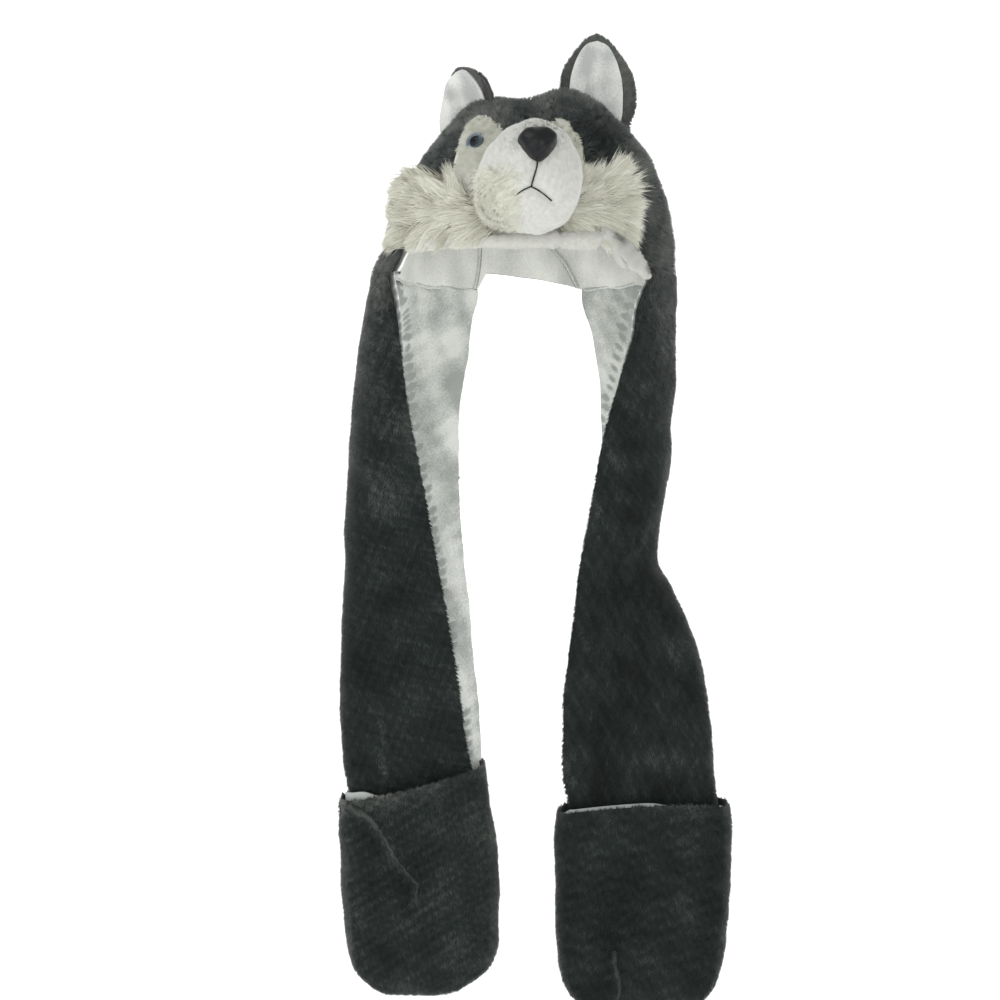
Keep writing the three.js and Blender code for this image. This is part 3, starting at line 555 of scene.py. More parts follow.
# Short pile over a skin, of the coat with its name. Fields are arrays on the skin's grid or plain numbers.
def pile(name, skin, comb, material, seed, density=1.0, tone=0.0, longer=0, share=1):
    kind = name.replace("_left", "").replace("_right", "")
    coat = dict(zip(COAT_COLUMNS.split(), COATS[kind]))
    source = np.random.default_rng(seed)
    count, grid = int(coat["count"] * share), skin.grid
    closed = np.concatenate([grid, grid[:, :1]], axis=1) if skin.wrap else grid
    rising, falling = closed[:-1, 1:] - closed[1:, :-1], closed[1:, 1:] - closed[:-1, :-1]
    area = np.linalg.norm(np.cross(rising, falling), axis=2) / 2
    thick = np.broadcast_to(np.asarray(density, float), grid.shape[:2])[:, : area.shape[1]]
    weight = area * (thick[:-1] + thick[1:]) / 2
    ladder = np.cumsum(weight.ravel())
    picks = (np.arange(count) + source.uniform(0, 1, count)) / count * ladder[-1]
    cell = np.minimum(np.searchsorted(ladder, picks), weight.size - 1)
    cells = (cell // weight.shape[1], cell % weight.shape[1])
    s, t = source.uniform(0, 1, count), source.uniform(0, 1, count)

    def at_roots(field):
        return skin.at(np.broadcast_to(field, grid.shape[:2])[..., None], cells, s, t)[:, 0]

    roots = skin.at(grid, cells, s, t)
    normals = unit(skin.at(skin.normals, cells, s, t))
    flow = skin.at(np.broadcast_to(comb, grid.shape), cells, s, t)
    stir = np.stack([hills(roots, coat["clump"], seed + k) for k in (1, 2, 3)], axis=1)
    flow = flow + coat["muss"] * stir + source.normal(0, coat["stray"], (count, 3))
    flow = unit(flow - normals * np.sum(flow * normals, axis=1, keepdims=True))
    angle = np.radians(coat["lean"] + source.normal(0, 9, count))
    way = unit(flow * np.cos(angle)[:, None] + normals * np.sin(angle)[:, None])
    fall = unit(way + flow * 0.5)
    tall = at_roots(coat["length"] + longer) * source.uniform(0.75, 1.1, count)
    shade = at_roots(tone) + coat["patch"] * hills(roots, coat["clump"] * 0.8, seed + 9)
    shade = shade + source.normal(0, coat["fleck"], count)
    tones = (shade, shade + coat["tip"])
    look = (coat["relief"], coat["twist"])
    return ribbons(
        name, roots, normals, way, fall, tall, coat["width"], coat["steps"], tones, material, seed + 20, *look
    )


# Materials


class Paint:
    def __init__(self, name):
        self.material = bpy.data.materials.new(name)
        self.material.use_nodes = True
        self.tree = self.material.node_tree
        self.shader = self.tree.nodes["Principled BSDF"]

    # Sets a node's inputs, each to a value or to another node's output.
    def feed(self, node, inputs):
        for key, value in inputs.items():
            if isinstance(value, bpy.types.NodeSocket):
                self.tree.links.new(value, node.inputs[key])
            else:
                node.inputs[key].default_value = value

    def node(self, kind, inputs, **settings):
        made = self.tree.nodes.new(kind)
        for key, value in settings.items():
            setattr(made, key, value)
        self.feed(made, inputs)
        return made

    def maths(self, operation, *inputs):
        return self.node("ShaderNodeMath", dict(enumerate(inputs)), operation=operation).outputs["Value"]

    def tone(self):
        return self.node("ShaderNodeAttribute", {}, attribute_name="tone").outputs["Fac"]

    def noise(self, scale, detail, roughness, stretch=(1, 1, 1)):
        where = self.node("ShaderNodeTexCoord", {}).outputs["Object"]
        spread = self.node("ShaderNodeMapping", {"Vector": where, "Scale": stretch}).outputs["Vector"]
        inputs = {"Vector": spread, "Scale": scale, "Detail": detail, "Roughness": roughness}
        return self.node("ShaderNodeTexNoise", inputs).outputs["Fac"]

    def bump(self, height, strength, distance):
        inputs = {"Height": height, "Strength": strength, "Distance": distance}
        return self.node("ShaderNodeBump", inputs).outputs["Normal"]

    def ramp(self, place, stops):
        made = self.node("ShaderNodeValToRGB", {"Fac": place})
        elements = made.color_ramp.elements
        elements[0].position, elements[0].color = stops[0][0], (*stops[0][1], 1)
        elements[1].position, elements[1].color = stops[-1][0], (*stops[-1][1], 1)
        for position, colour in stops[1:-1]:
            elements.new(position).color = (*colour, 1)
        return made.outputs["Color"]

    # Sets the shader's own inputs and gives the material.
    def shade(self, **inputs):
        self.feed(self.shader, {key.replace("_", " "): value for key, value in inputs.items()})
        return self.material


# Fur reads its tone from each hair and is mottled by patches a few centimetres wide.
def fur(name, stops, patch_size, patch_depth, sheen=0.25):
    paint = Paint(name)
    patches = paint.maths("SUBTRACT", paint.noise(1 / patch_size, 3.0, 0.6), 0.5)
    total = paint.maths("ADD", paint.maths("MULTIPLY", patches, patch_depth), paint.tone())
    return paint.shade(
        Base_Color=paint.ramp(total, stops), Roughness=0.85,
        Sheen_Weight=sheen, Sheen_Roughness=0.45, Specular_IOR_Level=0.25,
    )


# Fleece and other short cloth: a matt nap with small tufts, faint pilling and soft uneven colour.
def fleece(name, dark, light, nap=0.0016, depth=0.0006):
    paint = Paint(name)
    tufts = paint.noise(1 / nap, 2.0, 0.6)
    mixed = paint.maths("MULTIPLY_ADD", paint.noise(28.0, 3.0, 0.55), 0.45, paint.maths("MULTIPLY", tufts, 0.55))
    total = paint.maths("ADD", mixed, paint.tone())
    return paint.shade(
        Base_Color=paint.ramp(total, [(0.3, dark), (0.7, light)]), Normal=paint.bump(tufts, 0.55, depth),
        Roughness=0.95, Sheen_Weight=0.3, Sheen_Roughness=0.5, Specular_IOR_Level=0.2,
    )


# A worn black weave
def satin(name):
    paint = Paint(name)
    weave = paint.noise(900.0, 2.0, 0.5, (1, 1, 0.25))
    worn = paint.noise(60.0, 3.0, 0.6)
    gloss = paint.node("ShaderNodeMapRange", {"Value": worn, "To Min": 0.34, "To Max": 0.56}).outputs["Result"]
    return paint.shade(
        Base_Color=paint.ramp(worn, [(0.3, (0.0025, 0.003, 0.0035)), (0.75, (0.007, 0.008, 0.009))]),
        Roughness=gloss, Normal=paint.bump(weave, 0.25, 0.0002), Sheen_Weight=0.03, Specular_IOR_Level=0.25,
    )


# The eye's colours run out from the pupil by the tone that its mesh holds.
def eye_gloss(name):
    paint = Paint(name)
    total = paint.maths("MULTIPLY_ADD", paint.noise(700.0, 3.0, 0.6), 0.08, paint.tone())
    return paint.shade(
        Base_Color=paint.ramp(total, EYE_STOPS), Roughness=0.1,
        Coat_Weight=0.1, Coat_Roughness=0.04, Specular_IOR_Level=0.22,
    )


EYE_STOPS = [
    (0.0, (0.001, 0.002, 0.003)),
    (0.5, (0.002, 0.004, 0.007)),
    (0.58, (0.015, 0.028, 0.04)),
    (0.7, (0.07, 0.1, 0.12)),
    (0.85, (0.17, 0.21, 0.23)),
    (1.0, (0.2, 0.23, 0.25)),
]
DARK_STOPS = [
    (0.0, (0.003, 0.0048, 0.0046)),
    (0.35, (0.0155, 0.0225, 0.021)),
    (0.62, (0.047, 0.055, 0.05)),
    (0.85, (0.105, 0.109, 0.097)),
    (1.0, (0.19, 0.19, 0.17)),
]
CROWN_STOPS = [
    (0.0, (0.004, 0.0065, 0.0065)),
    (0.3, (0.025, 0.033, 0.031)),
    (0.6, (0.088, 0.097, 0.088)),
    (0.85, (0.175, 0.18, 0.16)),
    (1.0, (0.25, 0.26, 0.24)),
]
EAR_STOPS = [
    (0.0, (0.02, 0.0225, 0.021)),
    (0.5, (0.098, 0.106, 0.097)),
    (1.0, (0.26, 0.265, 0.24)),
]
CREAM_STOPS = [
    (0.0, (0.2, 0.195, 0.15)),
    (0.3, (0.46, 0.455, 0.37)),
    (0.65, (0.68, 0.68, 0.58)),
    (1.0, (0.82, 0.82, 0.74)),
]
MASK_STOPS = [
    (0.0, (0.42, 0.42, 0.35)),
    (0.45, (0.62, 0.625, 0.54)),
    (1.0, (0.8, 0.8, 0.73)),
]
WHITE_STOPS = [
    (0.0, (0.38, 0.385, 0.36)),
    (0.4, (0.58, 0.585, 0.54)),
    (1.0, (0.76, 0.77, 0.73)),
]

dark_plush = fur("dark_plush", DARK_STOPS, 0.045, 0.7, 0.3)
crown_plush = fur("crown_plush", CROWN_STOPS, 0.04, 0.75)
ear_plush = fur("ear_plush", EAR_STOPS, 0.03, 0.2)
long_fur = fur("long_fur", CREAM_STOPS, 0.025, 0.3, 0.15)
mask_plush = fur("mask_plush", MASK_STOPS, 0.03, 0.12)
white_plush = fur("white_plush", WHITE_STOPS, 0.02, 0.12)
lining_fleece = fleece("lining_fleece", (0.42, 0.44, 0.42), (0.86, 0.88, 0.84))
# The hood's lining is the same fleece painted lighter: painted light inside the hood, where the brim leaves it in
# shade.
hood_fleece_painted_light = fleece("hood_fleece_painted_light", (0.6, 0.61, 0.58), (0.88, 0.89, 0.84))
brim_fleece = fleece("brim_fleece", (0.5, 0.5, 0.455), (0.62, 0.62, 0.57), 0.002, 0.001)
# The ears' lining is the same white fleece painted darker: a painted shade for the inside of the ears' cups.
ear_fleece_painted_shade = fleece("ear_fleece_painted_shade", (0.39, 0.405, 0.39), (0.68, 0.69, 0.66))
nose_satin = satin("nose_satin")
eye_shine = eye_gloss("eye_shine")

# The crown


def crown_point(turn, share):
    angle = np.radians(turn)
    sine, cosine = np.sin(angle), np.cos(angle)
    power = 2 / CROWN_ROUNDNESS
    columns = ("right", "left", "front", "back", "z")
    right, left, front, back, z = (down_rows(CROWN_ROWS, name, share) for name in columns)
    x = np.sign(sine) * np.abs(sine) ** power * np.where(sine < 0, right, left)
    y = -np.sign(cosine) * np.abs(cosine) ** power * np.where(cosine > 0, front, back)
    return np.stack([x, y, z], axis=-1)


def share_at(z):
    shares = np.linspace(0, 1, 2000)
    heights = down_rows(CROWN_ROWS, "z", shares)
    return np.interp(-np.asarray(z, float), -heights, shares)


def dents(points):
    return bumps(CROWN_DENTS, points[..., 0], points[..., 1])


def swell(points):
    x, y, z = points[..., 0], points[..., 1], points[..., 2]
    amount = np.where(x < 0, along(SWELL, "z", "right", z), along(SWELL, "z", "left", z))
    beside = smooth(y, -55, -5) * (1 - smooth(y, 60, 115))
    return amount * beside * np.clip(np.abs(x) / 125, 0, 1.05) ** 2


def crown_skin(columns, bands):
    turns = np.arange(columns) * 360 / columns
    rim = share_at(along(RIM_ROWS, "turn", "z", turns))
    share = np.linspace(0, 1, bands + 1)[:, None] * rim[None]
    grid = crown_point(np.broadcast_to(turns, share.shape), share)
    return Skin(grid, wrap=True)


# The crown's skin moved in or out, with its rim kept level.
def crown_layer(skin, distance):
    layer = skin.moved(distance)
    layer.grid[-1, :, 2] = skin.grid[-1, :, 2]
    return layer


def inside(outline, x, z):
    hit = np.zeros(x.shape, bool)
    xs, zs = outline["x"], outline["z"]
    for i in range(len(xs)):
        x0, z0, x1, z1 = xs[i - 1], zs[i - 1], xs[i], zs[i]
        if z0 != z1:
            hit ^= ((z0 > z) != (z1 > z)) & (x < x0 + (x1 - x0) * (z - z0) / (z1 - z0))
    return hit


def in_mask(points):
    return inside(MASK_OUTLINE, points[..., 0], points[..., 2]) & (points[..., 1] < -20)


CROWN_GRID = (160, 58)
fine = crown_skin(*CROWN_GRID)
surface = crown_layer(fine, dents(fine.grid) + swell(fine.grid) + 1.2 * hills(fine.grid, 42, 11))
surface.normals = normals_of(surface.grid, True)
mask_here = in_mask(fine.grid).astype(float)
middles = (surface.grid[:-1] + surface.grid[1:] + np.roll(surface.grid[:-1] + surface.grid[1:], -1, 1)) / 4
mask_cells = in_mask(middles)
behind_muzzle = np.hypot((surface.grid[..., 0] + 5) / 40, (surface.grid[..., 2] + 82) / 36) < 1
behind_muzzle &= surface.grid[..., 1] < 0


# The place on the front of the crown at a width and a height.
def eye_seat(x, z):
    turns = np.linspace(-80, 80, 1601) % 360
    line = crown_point(turns, np.full(turns.shape, share_at(z)))
    return line[np.argmin(np.abs(line[:, 0] - x))]


# Where each eye sits in X and Z, with its tilt in degrees. No pile grows within the clearing.
EYES = {"right": (-48, -41, 32), "left": (20, -42, -32)}
EYE_CLEARING = 7


def near_eyes(points):
    seats = [eye_seat(x, z) for x, z, _ in EYES.values()]
    return np.any([np.linalg.norm(points - seat, axis=-1) < EYE_CLEARING for seat in seats], axis=0)


# Darker and lighter places of the crown's fur, seen from the front.
CROWN_SHADES = table("x z reach change", [
    [62, -29, 26, -0.36],
    [76, -34, 22, -0.16],
    [44, -2, 14, -0.14],
    [86, -8, 14, -0.12],
    [-4, -8, 8, -0.2],
    [30, 2, 7, -0.12],
    [-50, -6, 24, 0.14],
    [-88, -40, 20, -0.06],
    [104, -56, 18, 0.12],
    [12, 4, 13, 0.1],
])


def crown_shade(points):
    in_front = smooth(-points[..., 1], -30, 10)
    return 0.36 + in_front * bumps(CROWN_SHADES, points[..., 0], points[..., 2])


# How deep the roots of the crown's and the mask's pile lie under its tips
CROWN_ROOT = 6.5
MASK_ROOT = 2.6
# No pile grows along the rim between these turns at the back, over the last part of the way down.
BARE_TURNS = (152, 202)
BARE_FROM = 0.955
turns = np.arange(CROWN_GRID[0]) * 360 / CROWN_GRID[0]
at_back = (turns > BARE_TURNS[0]) & (turns < BARE_TURNS[1])
at_rim = np.linspace(0, 1, CROWN_GRID[1] + 1)[:, None] > BARE_FROM
x, z = surface.grid[..., 0], surface.grid[..., 2]
crown_root = crown_layer(surface, -CROWN_ROOT)
crown_cloth = wall("hood_cloth", crown_root, crown_layer(surface, -CROWN_ROOT - BACKING), crown_plush, ~mask_cells)
set_tone(crown_cloth, 0.15)
crown_hair = pile(
    "hood_pile", crown_root, vectors(0.35 * x / 130, 0.9, -0.9 * np.clip(-z / 90, 0, 1.4)), crown_plush, 100,
    density=(1 - mask_here) * ~behind_muzzle * ~(at_rim & at_back), tone=crown_shade(surface.grid),
)
mask_root = crown_layer(surface, -MASK_ROOT)
mask_cloth = wall("face_cloth", mask_root, crown_layer(surface, -MASK_ROOT - BACKING), mask_plush, mask_cells)
set_tone(mask_cloth, 0.55)
mask_hair = pile(
    "face_pile", mask_root, vectors(x / 90, 0.8, -0.8), mask_plush, 200,
    density=mask_here * ~behind_muzzle * ~near_eyes(surface.grid), tone=0.3 + 0.4 * smooth(-z, 40, 85),
)
coarse = crown_skin(108, 48)
lining_hills = 1.3 * hills(coarse.grid * [1, 1, 0.5], 34, 12)
hood_lining = wall(
    "hood_lining",
    crown_layer(coarse, -(CROWN_PILE + GAP)),
    crown_layer(coarse, -(CROWN_PILE + GAP + LINING) - lining_hills),
    hood_fleece_painted_light,
)
# The lining's tone follows the same hills as its folds: painted shade on the folds.
set_tone(hood_lining, -0.16 * hills(points_of(hood_lining) * [1, 1, 0.5], 34, 12))
dress("crown_plush", "crown_fur", crown_cloth, crown_hair)
dress("mask_plush", "face_mask", mask_cloth, mask_hair)
dress("fleece", "crown_lining", hood_lining)

# The rolled hem of the brim

# The roll gets thicker from the right to the left and thin again at its end, which lies further in. The places
# along it are widths in X.
BRIM = {"thin": 6.0, "thick": 8.6, "end": 4.6, "from": -54, "to": 48, "inset": 4, "end_inset": 2.5}
BRIM_THICKENS = (-35, 8)
BRIM_ENDS = (60, 72)
BRIM_PINCHES = (-71, 14, 26)
PINCH_WIDTH = 2.6


def brim_skin(columns, around):
    turns = np.linspace(BRIM["from"], BRIM["to"], columns) % 360
    rim = along(RIM_ROWS, "turn", "z", turns)
    line = crown_point(turns, share_at(rim))
    inward = unit(line * [-1, -1, 0])
    end = smooth(line[:, 0], *BRIM_ENDS)
    middle = line + inward * (BRIM["inset"] + BRIM["end_inset"] * end)[:, None]
    radius = BRIM["thin"] + (BRIM["thick"] - BRIM["thin"]) * smooth(line[:, 0], *BRIM_THICKENS)
    middle[:, 2] = rim - GAP - 2 * BRIM["thin"] + radius
    radius = radius + (BRIM["end"] - radius) * end
    middle[:, 2] += (rim + 1 - middle[:, 2]) * end
    angle = np.arange(around) * 2 * math.pi / around
    folds = 1 + 0.08 * hills(middle * [1, 1, 0], 30, 31) + 0.06 * hills(middle * [1, 1, 0], 11, 32)
    for place in BRIM_PINCHES:
        folds -= 0.2 * np.exp(-(((middle[:, 0] - place) / PINCH_WIDTH) ** 2))
    radius = (radius * folds)[:, None, None]
    ring = np.cos(angle)[None, :, None] * inward[:, None] + np.sin(angle)[None, :, None] * [0, 0, 1]
    return Skin(middle[:, None] + radius * ring, wrap=True)


brim = brim_skin(120, 24)
brim_body = loft("brim_hem", brim.grid, brim_fleece)
brim_nap = pile("brim_nap", brim.moved(-0.3), (0, 0.7, -1), white_plush, 300, tone=0.24)
dress("fleece", "brim_roll", brim_body, brim_nap)

# The muzzle with its stitched mouth

# How square the lower half of the muzzle is.
JOWL = 0.16


def muzzle_skin(rows, columns):
    share = np.sin(np.linspace(0, math.pi / 2, rows)) ** 0.9 * 0.999
    row = {name: down_rows(MUZZLE_ROWS, name, share)[:, None] for name in MUZZLE_ROWS}
    angle = np.arange(columns) * 2 * math.pi / columns
    sine, cosine = np.sin(angle), np.cos(angle)
    height = np.where(sine > 0, row["up"], row["down"])
    square = 1 - JOWL * smooth(-sine, 0, 0.3)
    x = row["x"] + row["half"] * np.sign(cosine) * np.abs(cosine) ** square
    z = row["z"] + height * np.sign(sine) * np.abs(sine) ** square
    return Skin(vectors(x, row["y"], z), wrap=True)


MOUTH = [
    [(6.5, -76), (5, -84), (2.5, -92), (1, -98)],
    [(1, -98), (-4, -100), (-8.5, -102.3), (-13, -105)],
    [(1, -98), (7, -101), (12.5, -105), (18, -109.5)],
]
GROOVE_WIDTH = 4

muzzle = muzzle_skin(72, 100)
front = smooth(-muzzle.grid[..., 1], 130, 165)
groove = np.max([crease(muzzle.grid, line, GROOVE_WIDTH) for line in MOUTH], axis=0) * front
muzzle = muzzle.moved(0.9 * hills(muzzle.grid, 30, 41) - 3.2 * groove - 2.0)
muzzle.normals = normals_of(muzzle.grid, True)
muzzle_body = loft("muzzle_form", muzzle.grid, white_plush)
set_tone(muzzle_body, 0.55)
x, y, z = np.moveaxis(muzzle.grid, -1, 0)
chin = smooth(-z, 92, 118)
under_nose = (np.hypot((x - 6) / 13, (z + 63) / 12) < 1) & (y < -160)
muzzle_hair = pile(
    "muzzle_pile", muzzle, vectors(0.25 * (x - 3) / 45, 1.1, -0.4 - 0.4 * chin), white_plush, 400,
    density=(1 - 0.7 * groove) * ~under_nose, tone=0.54, longer=1.2 * chin,
)
# Curls stand up round the nose.
nose_rim = np.hypot((x - 6) / 21, (z + 62) / 19)
curls = np.exp(-(((nose_rim - 1) / 0.14) ** 2)) * (y < -150) * smooth(z, -72, -60)
muzzle_curls = pile("muzzle_curls", muzzle, (0, -0.3, 1), white_plush, 470, density=curls, tone=0.6)
# The longer cream fur of the cheek runs on over the lower right side of the muzzle.
muzzle_fringe = pile(
    "muzzle_fringe", muzzle, (-1, 0.3, -0.6), long_fur, 450,
    density=smooth(-x, 2, 34) * smooth(-z, 72, 104), tone=0.46, longer=6 * smooth(-x, 15, 38),
)
dress("white_plush", "muzzle", muzzle_body, muzzle_hair, muzzle_curls)
dress("long_fur", None, muzzle_fringe)


# How far forward a skin lies at a width and a height.
def front_at(grid, x, z):
    points = grid[grid[..., 1] < np.mean(grid[..., 1])]
    away = np.hypot(points[:, 0] - x, points[:, 2] - z)
    near = np.argsort(away)[:6]
    weight = 1 / (away[near] + 0.3)
    return np.sum(points[near, 1] * weight) / np.sum(weight)


mouth_paths = []
for line in MOUTH:
    path = resample(np.array(line, float), 14)
    mouth_paths.append([(x, front_at(muzzle.grid, x, z) - 0.9, z) for x, z in path])
dress("nose_satin", None, thread("mouth_stitch", mouth_paths, 0.6, nose_satin))

# The satin nose

NOSE_OUTLINE = table("turn reach", [
    [0, 15.6],
    [27, 17.6],
    [50, 15.8],
    [70, 14.4],
    [92, 13.8],
    [114, 14.5],
    [147, 15.8],
    [169, 16.8],
    [190, 13.8],
    [224, 12.9],
    [255, 14.8],
    [277, 15.8],
    [300, 14.6],
    [326, 14],
    [360, 15.6],
])
NOSE_PLACE = np.array([6, -184, -62.5])
NOSE_DEPTH = 13
NOSE_TILT = -12


def nose_grid(rows, columns):
    turn = np.arange(columns) * 360 / columns
    reach = along(NOSE_OUTLINE, "turn", "reach", turn)
    share = np.linspace(0, 1, rows)[:, None]
    out = np.sin(share * math.pi / 2) ** 0.75
    angle = np.radians(turn)
    x, z = reach * np.cos(angle) * out, reach * np.sin(angle) * out
    y = -NOSE_DEPTH * np.cos(share * math.pi / 2) ** 0.7
    gathers = 0.3 * np.sin(11 * angle + 1.5 * np.sin(2 * angle)) * smooth(share, 0.45, 0.95)
    middle_fold = 0.5 * np.exp(-((x / 3.2) ** 2)) * smooth(-z, 2, 12)
    planes = 1.1 * hills(vectors(x, z, 0), 17, 51)
    grid = vectors(x, y + gathers + middle_fold + planes, z)
    base = grid[-1:] * [0.8, 0, 0.8] + [0, 9, 0]
    grid = np.concatenate([grid, base])
    tilt = math.radians(NOSE_TILT)
    turned = grid.copy()
    turned[..., 1] = grid[..., 1] * math.cos(tilt) - grid[..., 2] * math.sin(tilt)
    turned[..., 2] = grid[..., 1] * math.sin(tilt) + grid[..., 2] * math.cos(tilt)
    return turned + NOSE_PLACE


nose = loft("nose_pad", nose_grid(40, 96), nose_satin)
dress("nose_satin", "nose", nose)

# The eyes, each a glossy bead in a felt bed under a stitched lid

PUPIL = (4.2, 3.6)
felt_pale = fleece("felt_pale", (0.34, 0.37, 0.37), (0.5, 0.53, 0.52), 0.0009, 0.0002)
felt_lid = fleece("felt_lid", (0.14, 0.18, 0.2), (0.25, 0.29, 0.32), 0.0009, 0.0002)


def eye_place(side):
    x, z, tilt = EYES[side]
    seat = eye_seat(x, z)
    turn = math.atan2(seat[0], -seat[1])
    lean = math.radians(tilt)
    right = np.array([math.cos(turn), math.sin(turn), 0])
    out = np.array([math.sin(turn), -math.cos(turn), 0])
    up = np.array([0, 0, 1])
    long_way = right * math.cos(lean) + up * math.sin(lean)
    short_way = up * math.cos(lean) - right * math.sin(lean)
    return seat, np.stack([long_way, short_way, out])


# How far a dome's rim reaches into the face
DOME_FOOT = 3.5


# A low dome on the face: half length, half height, how far it stands out and where its middle is.
def dome(name, side, half, height, out, middle, material, rows=24, columns=64):
    seat, axes = eye_place(side)
    angle = np.arange(columns) * 2 * math.pi / columns
    share = np.linspace(1, 0.02, rows)[:, None]
    almond = 1 - 0.22 * np.abs(np.cos(angle)) ** 3
    u = half * share * np.cos(angle) + middle[0]
    v = height * share * np.sin(angle) * almond + middle[1]
    grid = vectors(u, v, middle[2] + out * np.sqrt(1 - share**2))
    grid = np.concatenate([grid[:1] - [0, 0, DOME_FOOT], grid])
    return loft(name, seat + grid @ axes, material)


for side in EYES:
    sign = -1 if side == "right" else 1
    seat, axes = eye_place(side)
    bed = dome(f"eye_bed_{side}", side, 9.6, 6.8, 1.6, (1.6 * sign, 1.4, -1.2), felt_pale)
    bead = dome(f"eye_bead_{side}", side, 6.6, 5.0, 4.2, (-1.2 * sign, -0.6, -0.6), eye_shine)
    local = (points_of(bead) - seat) @ axes.T
    set_tone(bead, 0.5 * np.hypot((local[:, 0] + 1.2 * sign) / PUPIL[0], (local[:, 1] + 0.2) / PUPIL[1]))
    step = np.linspace(math.radians(12), math.radians(168), 24)
    bow = vectors(8.2 * np.cos(step) - sign, 5.9 * np.sin(step) - 0.8, 0.8 + 1.8 * np.sin(step))
    lid = thread(f"eye_lid_{side}", [seat + bow @ axes], 1.25, felt_lid)
    dress("eye_gloss", f"eye_{side}", bead)
    dress("mask_plush", None, bed, lid)

# The cheek ruffs


def cheek_point(ruff, across, down):
    turn = ruff["from"] + (ruff["to"] - ruff["from"]) * across
    rise = np.sin(math.pi / 2 * np.clip(across / 0.5, 0, 1))
    inner = ruff["inner"] + (ruff["crest"] - ruff["inner"]) * rise
    outer = ruff["crest"] + (ruff["outer"] - ruff["crest"]) * (2 * across - 1)
    top = np.where(across < 0.5, inner, outer)
    return crown_point(turn, share_at(top + (ruff["bottom"] - top) * down))


# Hair that fans out from a low point beside the muzzle, in clumps whose hairs lean together.
FAN_HEIGHT = -110
CLUMP_WIDTH = 3.1
CLUMPS = 196
CLUMP_HAIRS = 66


def ruff_hair(side, clumps, hairs, seed):
    ruff = RUFFS[side]
    source = np.random.default_rng(seed)
    cells = math.ceil(math.sqrt(clumps))
    cell = np.arange(clumps)
    across = (cell % cells + source.uniform(0.05, 0.95, clumps)) / cells
    down = (cell // cells + source.uniform(0.05, 0.95, clumps)) / cells
    root = cheek_point(ruff, across, down)
    out = unit(root * [1, 1, 0])
    root = root + out * swell(root)[:, None]
    sideways = vectors(-out[:, 1], out[:, 0], 0) * ruff["sweep"]
    up = np.array([0, 0, 1.0])
    turn = ruff["from"] + (ruff["to"] - ruff["from"]) * across
    beside = np.radians(turn - ruff["origin"]) * ruff["sweep"] * np.hypot(root[:, 0], root[:, 1])
    angle = np.arctan2(root[:, 2] - FAN_HEIGHT, np.maximum(beside, 9))
    angle = np.clip(angle, -0.6, 1.35) * (1 - ruff["level"] * across * (root[:, 2] > FAN_HEIGHT))
    angle += source.normal(0, 0.2, clumps) + 0.35 * hills(root, 24, seed + 4)
    corner = smooth(across, 0.6, 0.9) * smooth(root[:, 2], -98, -80)
    stand = (0.42 + 0.1 * source.normal(size=clumps) + ruff["flare"] * corner)[:, None]
    level, rise = np.cos(angle)[:, None], np.sin(angle)[:, None]
    way = unit(sideways * level + up * rise + out * stand)
    droop = (0.12 + ruff["droop"] * down)[:, None]
    fall = unit(sideways * level + up * (rise * 0.85 - droop) - out * 0.02)
    length = (25 + 7 * across - 5 * smooth(down, 0.6, 1)) * source.uniform(0.8, 1.15, clumps)
    clump_tone = source.normal(ruff["tone"], 0.11, clumps) + 0.12 * hills(root, 20, seed + 3)
    owner = np.repeat(np.arange(clumps), hairs)
    count = len(owner)
    spread = source.normal(0, CLUMP_WIDTH, (count, 2))
    offset = sideways[owner] * spread[:, :1] + up * spread[:, 1:]
    offset = offset - out[owner] * np.sum(offset * out[owner], axis=1, keepdims=True)
    tall = length[owner] * source.uniform(0.7, 1.08, count)
    meet = source.uniform(0.3, 1.0, (count, 1))
    hair_fall = fall[owner] + source.normal(0, 0.09, (count, 3)) - 1.5 * meet * offset / tall[:, None]
    hair_way = unit(way[owner] + source.normal(0, 0.08, (count, 3)))
    # Hairs are painted darker towards the edges of their clumps and, strongly, towards their roots: painted shade
    # in the grooves between the clumps.
    shade = clump_tone[owner] + source.normal(0, 0.07, count) - 0.012 * np.linalg.norm(spread, axis=1)
    roots = root[owner] + offset - out[owner] * 0.5
    return ribbons(
        f"ruff_hair_{side}", roots, out[owner], hair_way, hair_fall, tall, 0.9, 3,
        (shade - 0.36, shade + 0.32), long_fur, seed + 5, 0.45, 0.35,
    )


def ruff_cloth(side):
    ruff = RUFFS[side]
    across, down = np.meshgrid(np.linspace(0, 1, 60), np.linspace(0, 1, 40))
    grid = cheek_point(ruff, across, down)
    skin = Skin(grid, outward=grid * [1, 1, 0])
    cloth = wall(f"ruff_cloth_{side}", skin.moved(1.2), skin.moved(0.4), long_fur)
    set_tone(cloth, 0.35)
    return cloth


for side, seed in (("left", 600), ("right", 650)):
    dress("long_fur", f"cheek_ruff_{side}", ruff_cloth(side), ruff_hair(side, CLUMPS, CLUMP_HAIRS, seed))

# The ears


def ear_axes(ear):
    across, lean, roll = (math.radians(angle) for angle in ear["turns"])
    turn = Matrix.Rotation(across, 3, "Z") @ Matrix.Rotation(roll, 3, "Y") @ Matrix.Rotation(-lean, 3, "X")
    return np.array(turn)


# The outline of an ear between its hems, which are at its low edge, its high edge and its tip.
def ear_line(ear, hems, up):
    low, high, _ = hems
    outline = along(EAR_OUTLINE, "up", "half", up)
    if hems != NO_HEM:
        outline = outline**0.62
    return outline * (low - high) / 2, outline * (ear["width"] - low - high) / 2


# Where an ear starts, as a share of its height
EAR_FOOT = -0.1


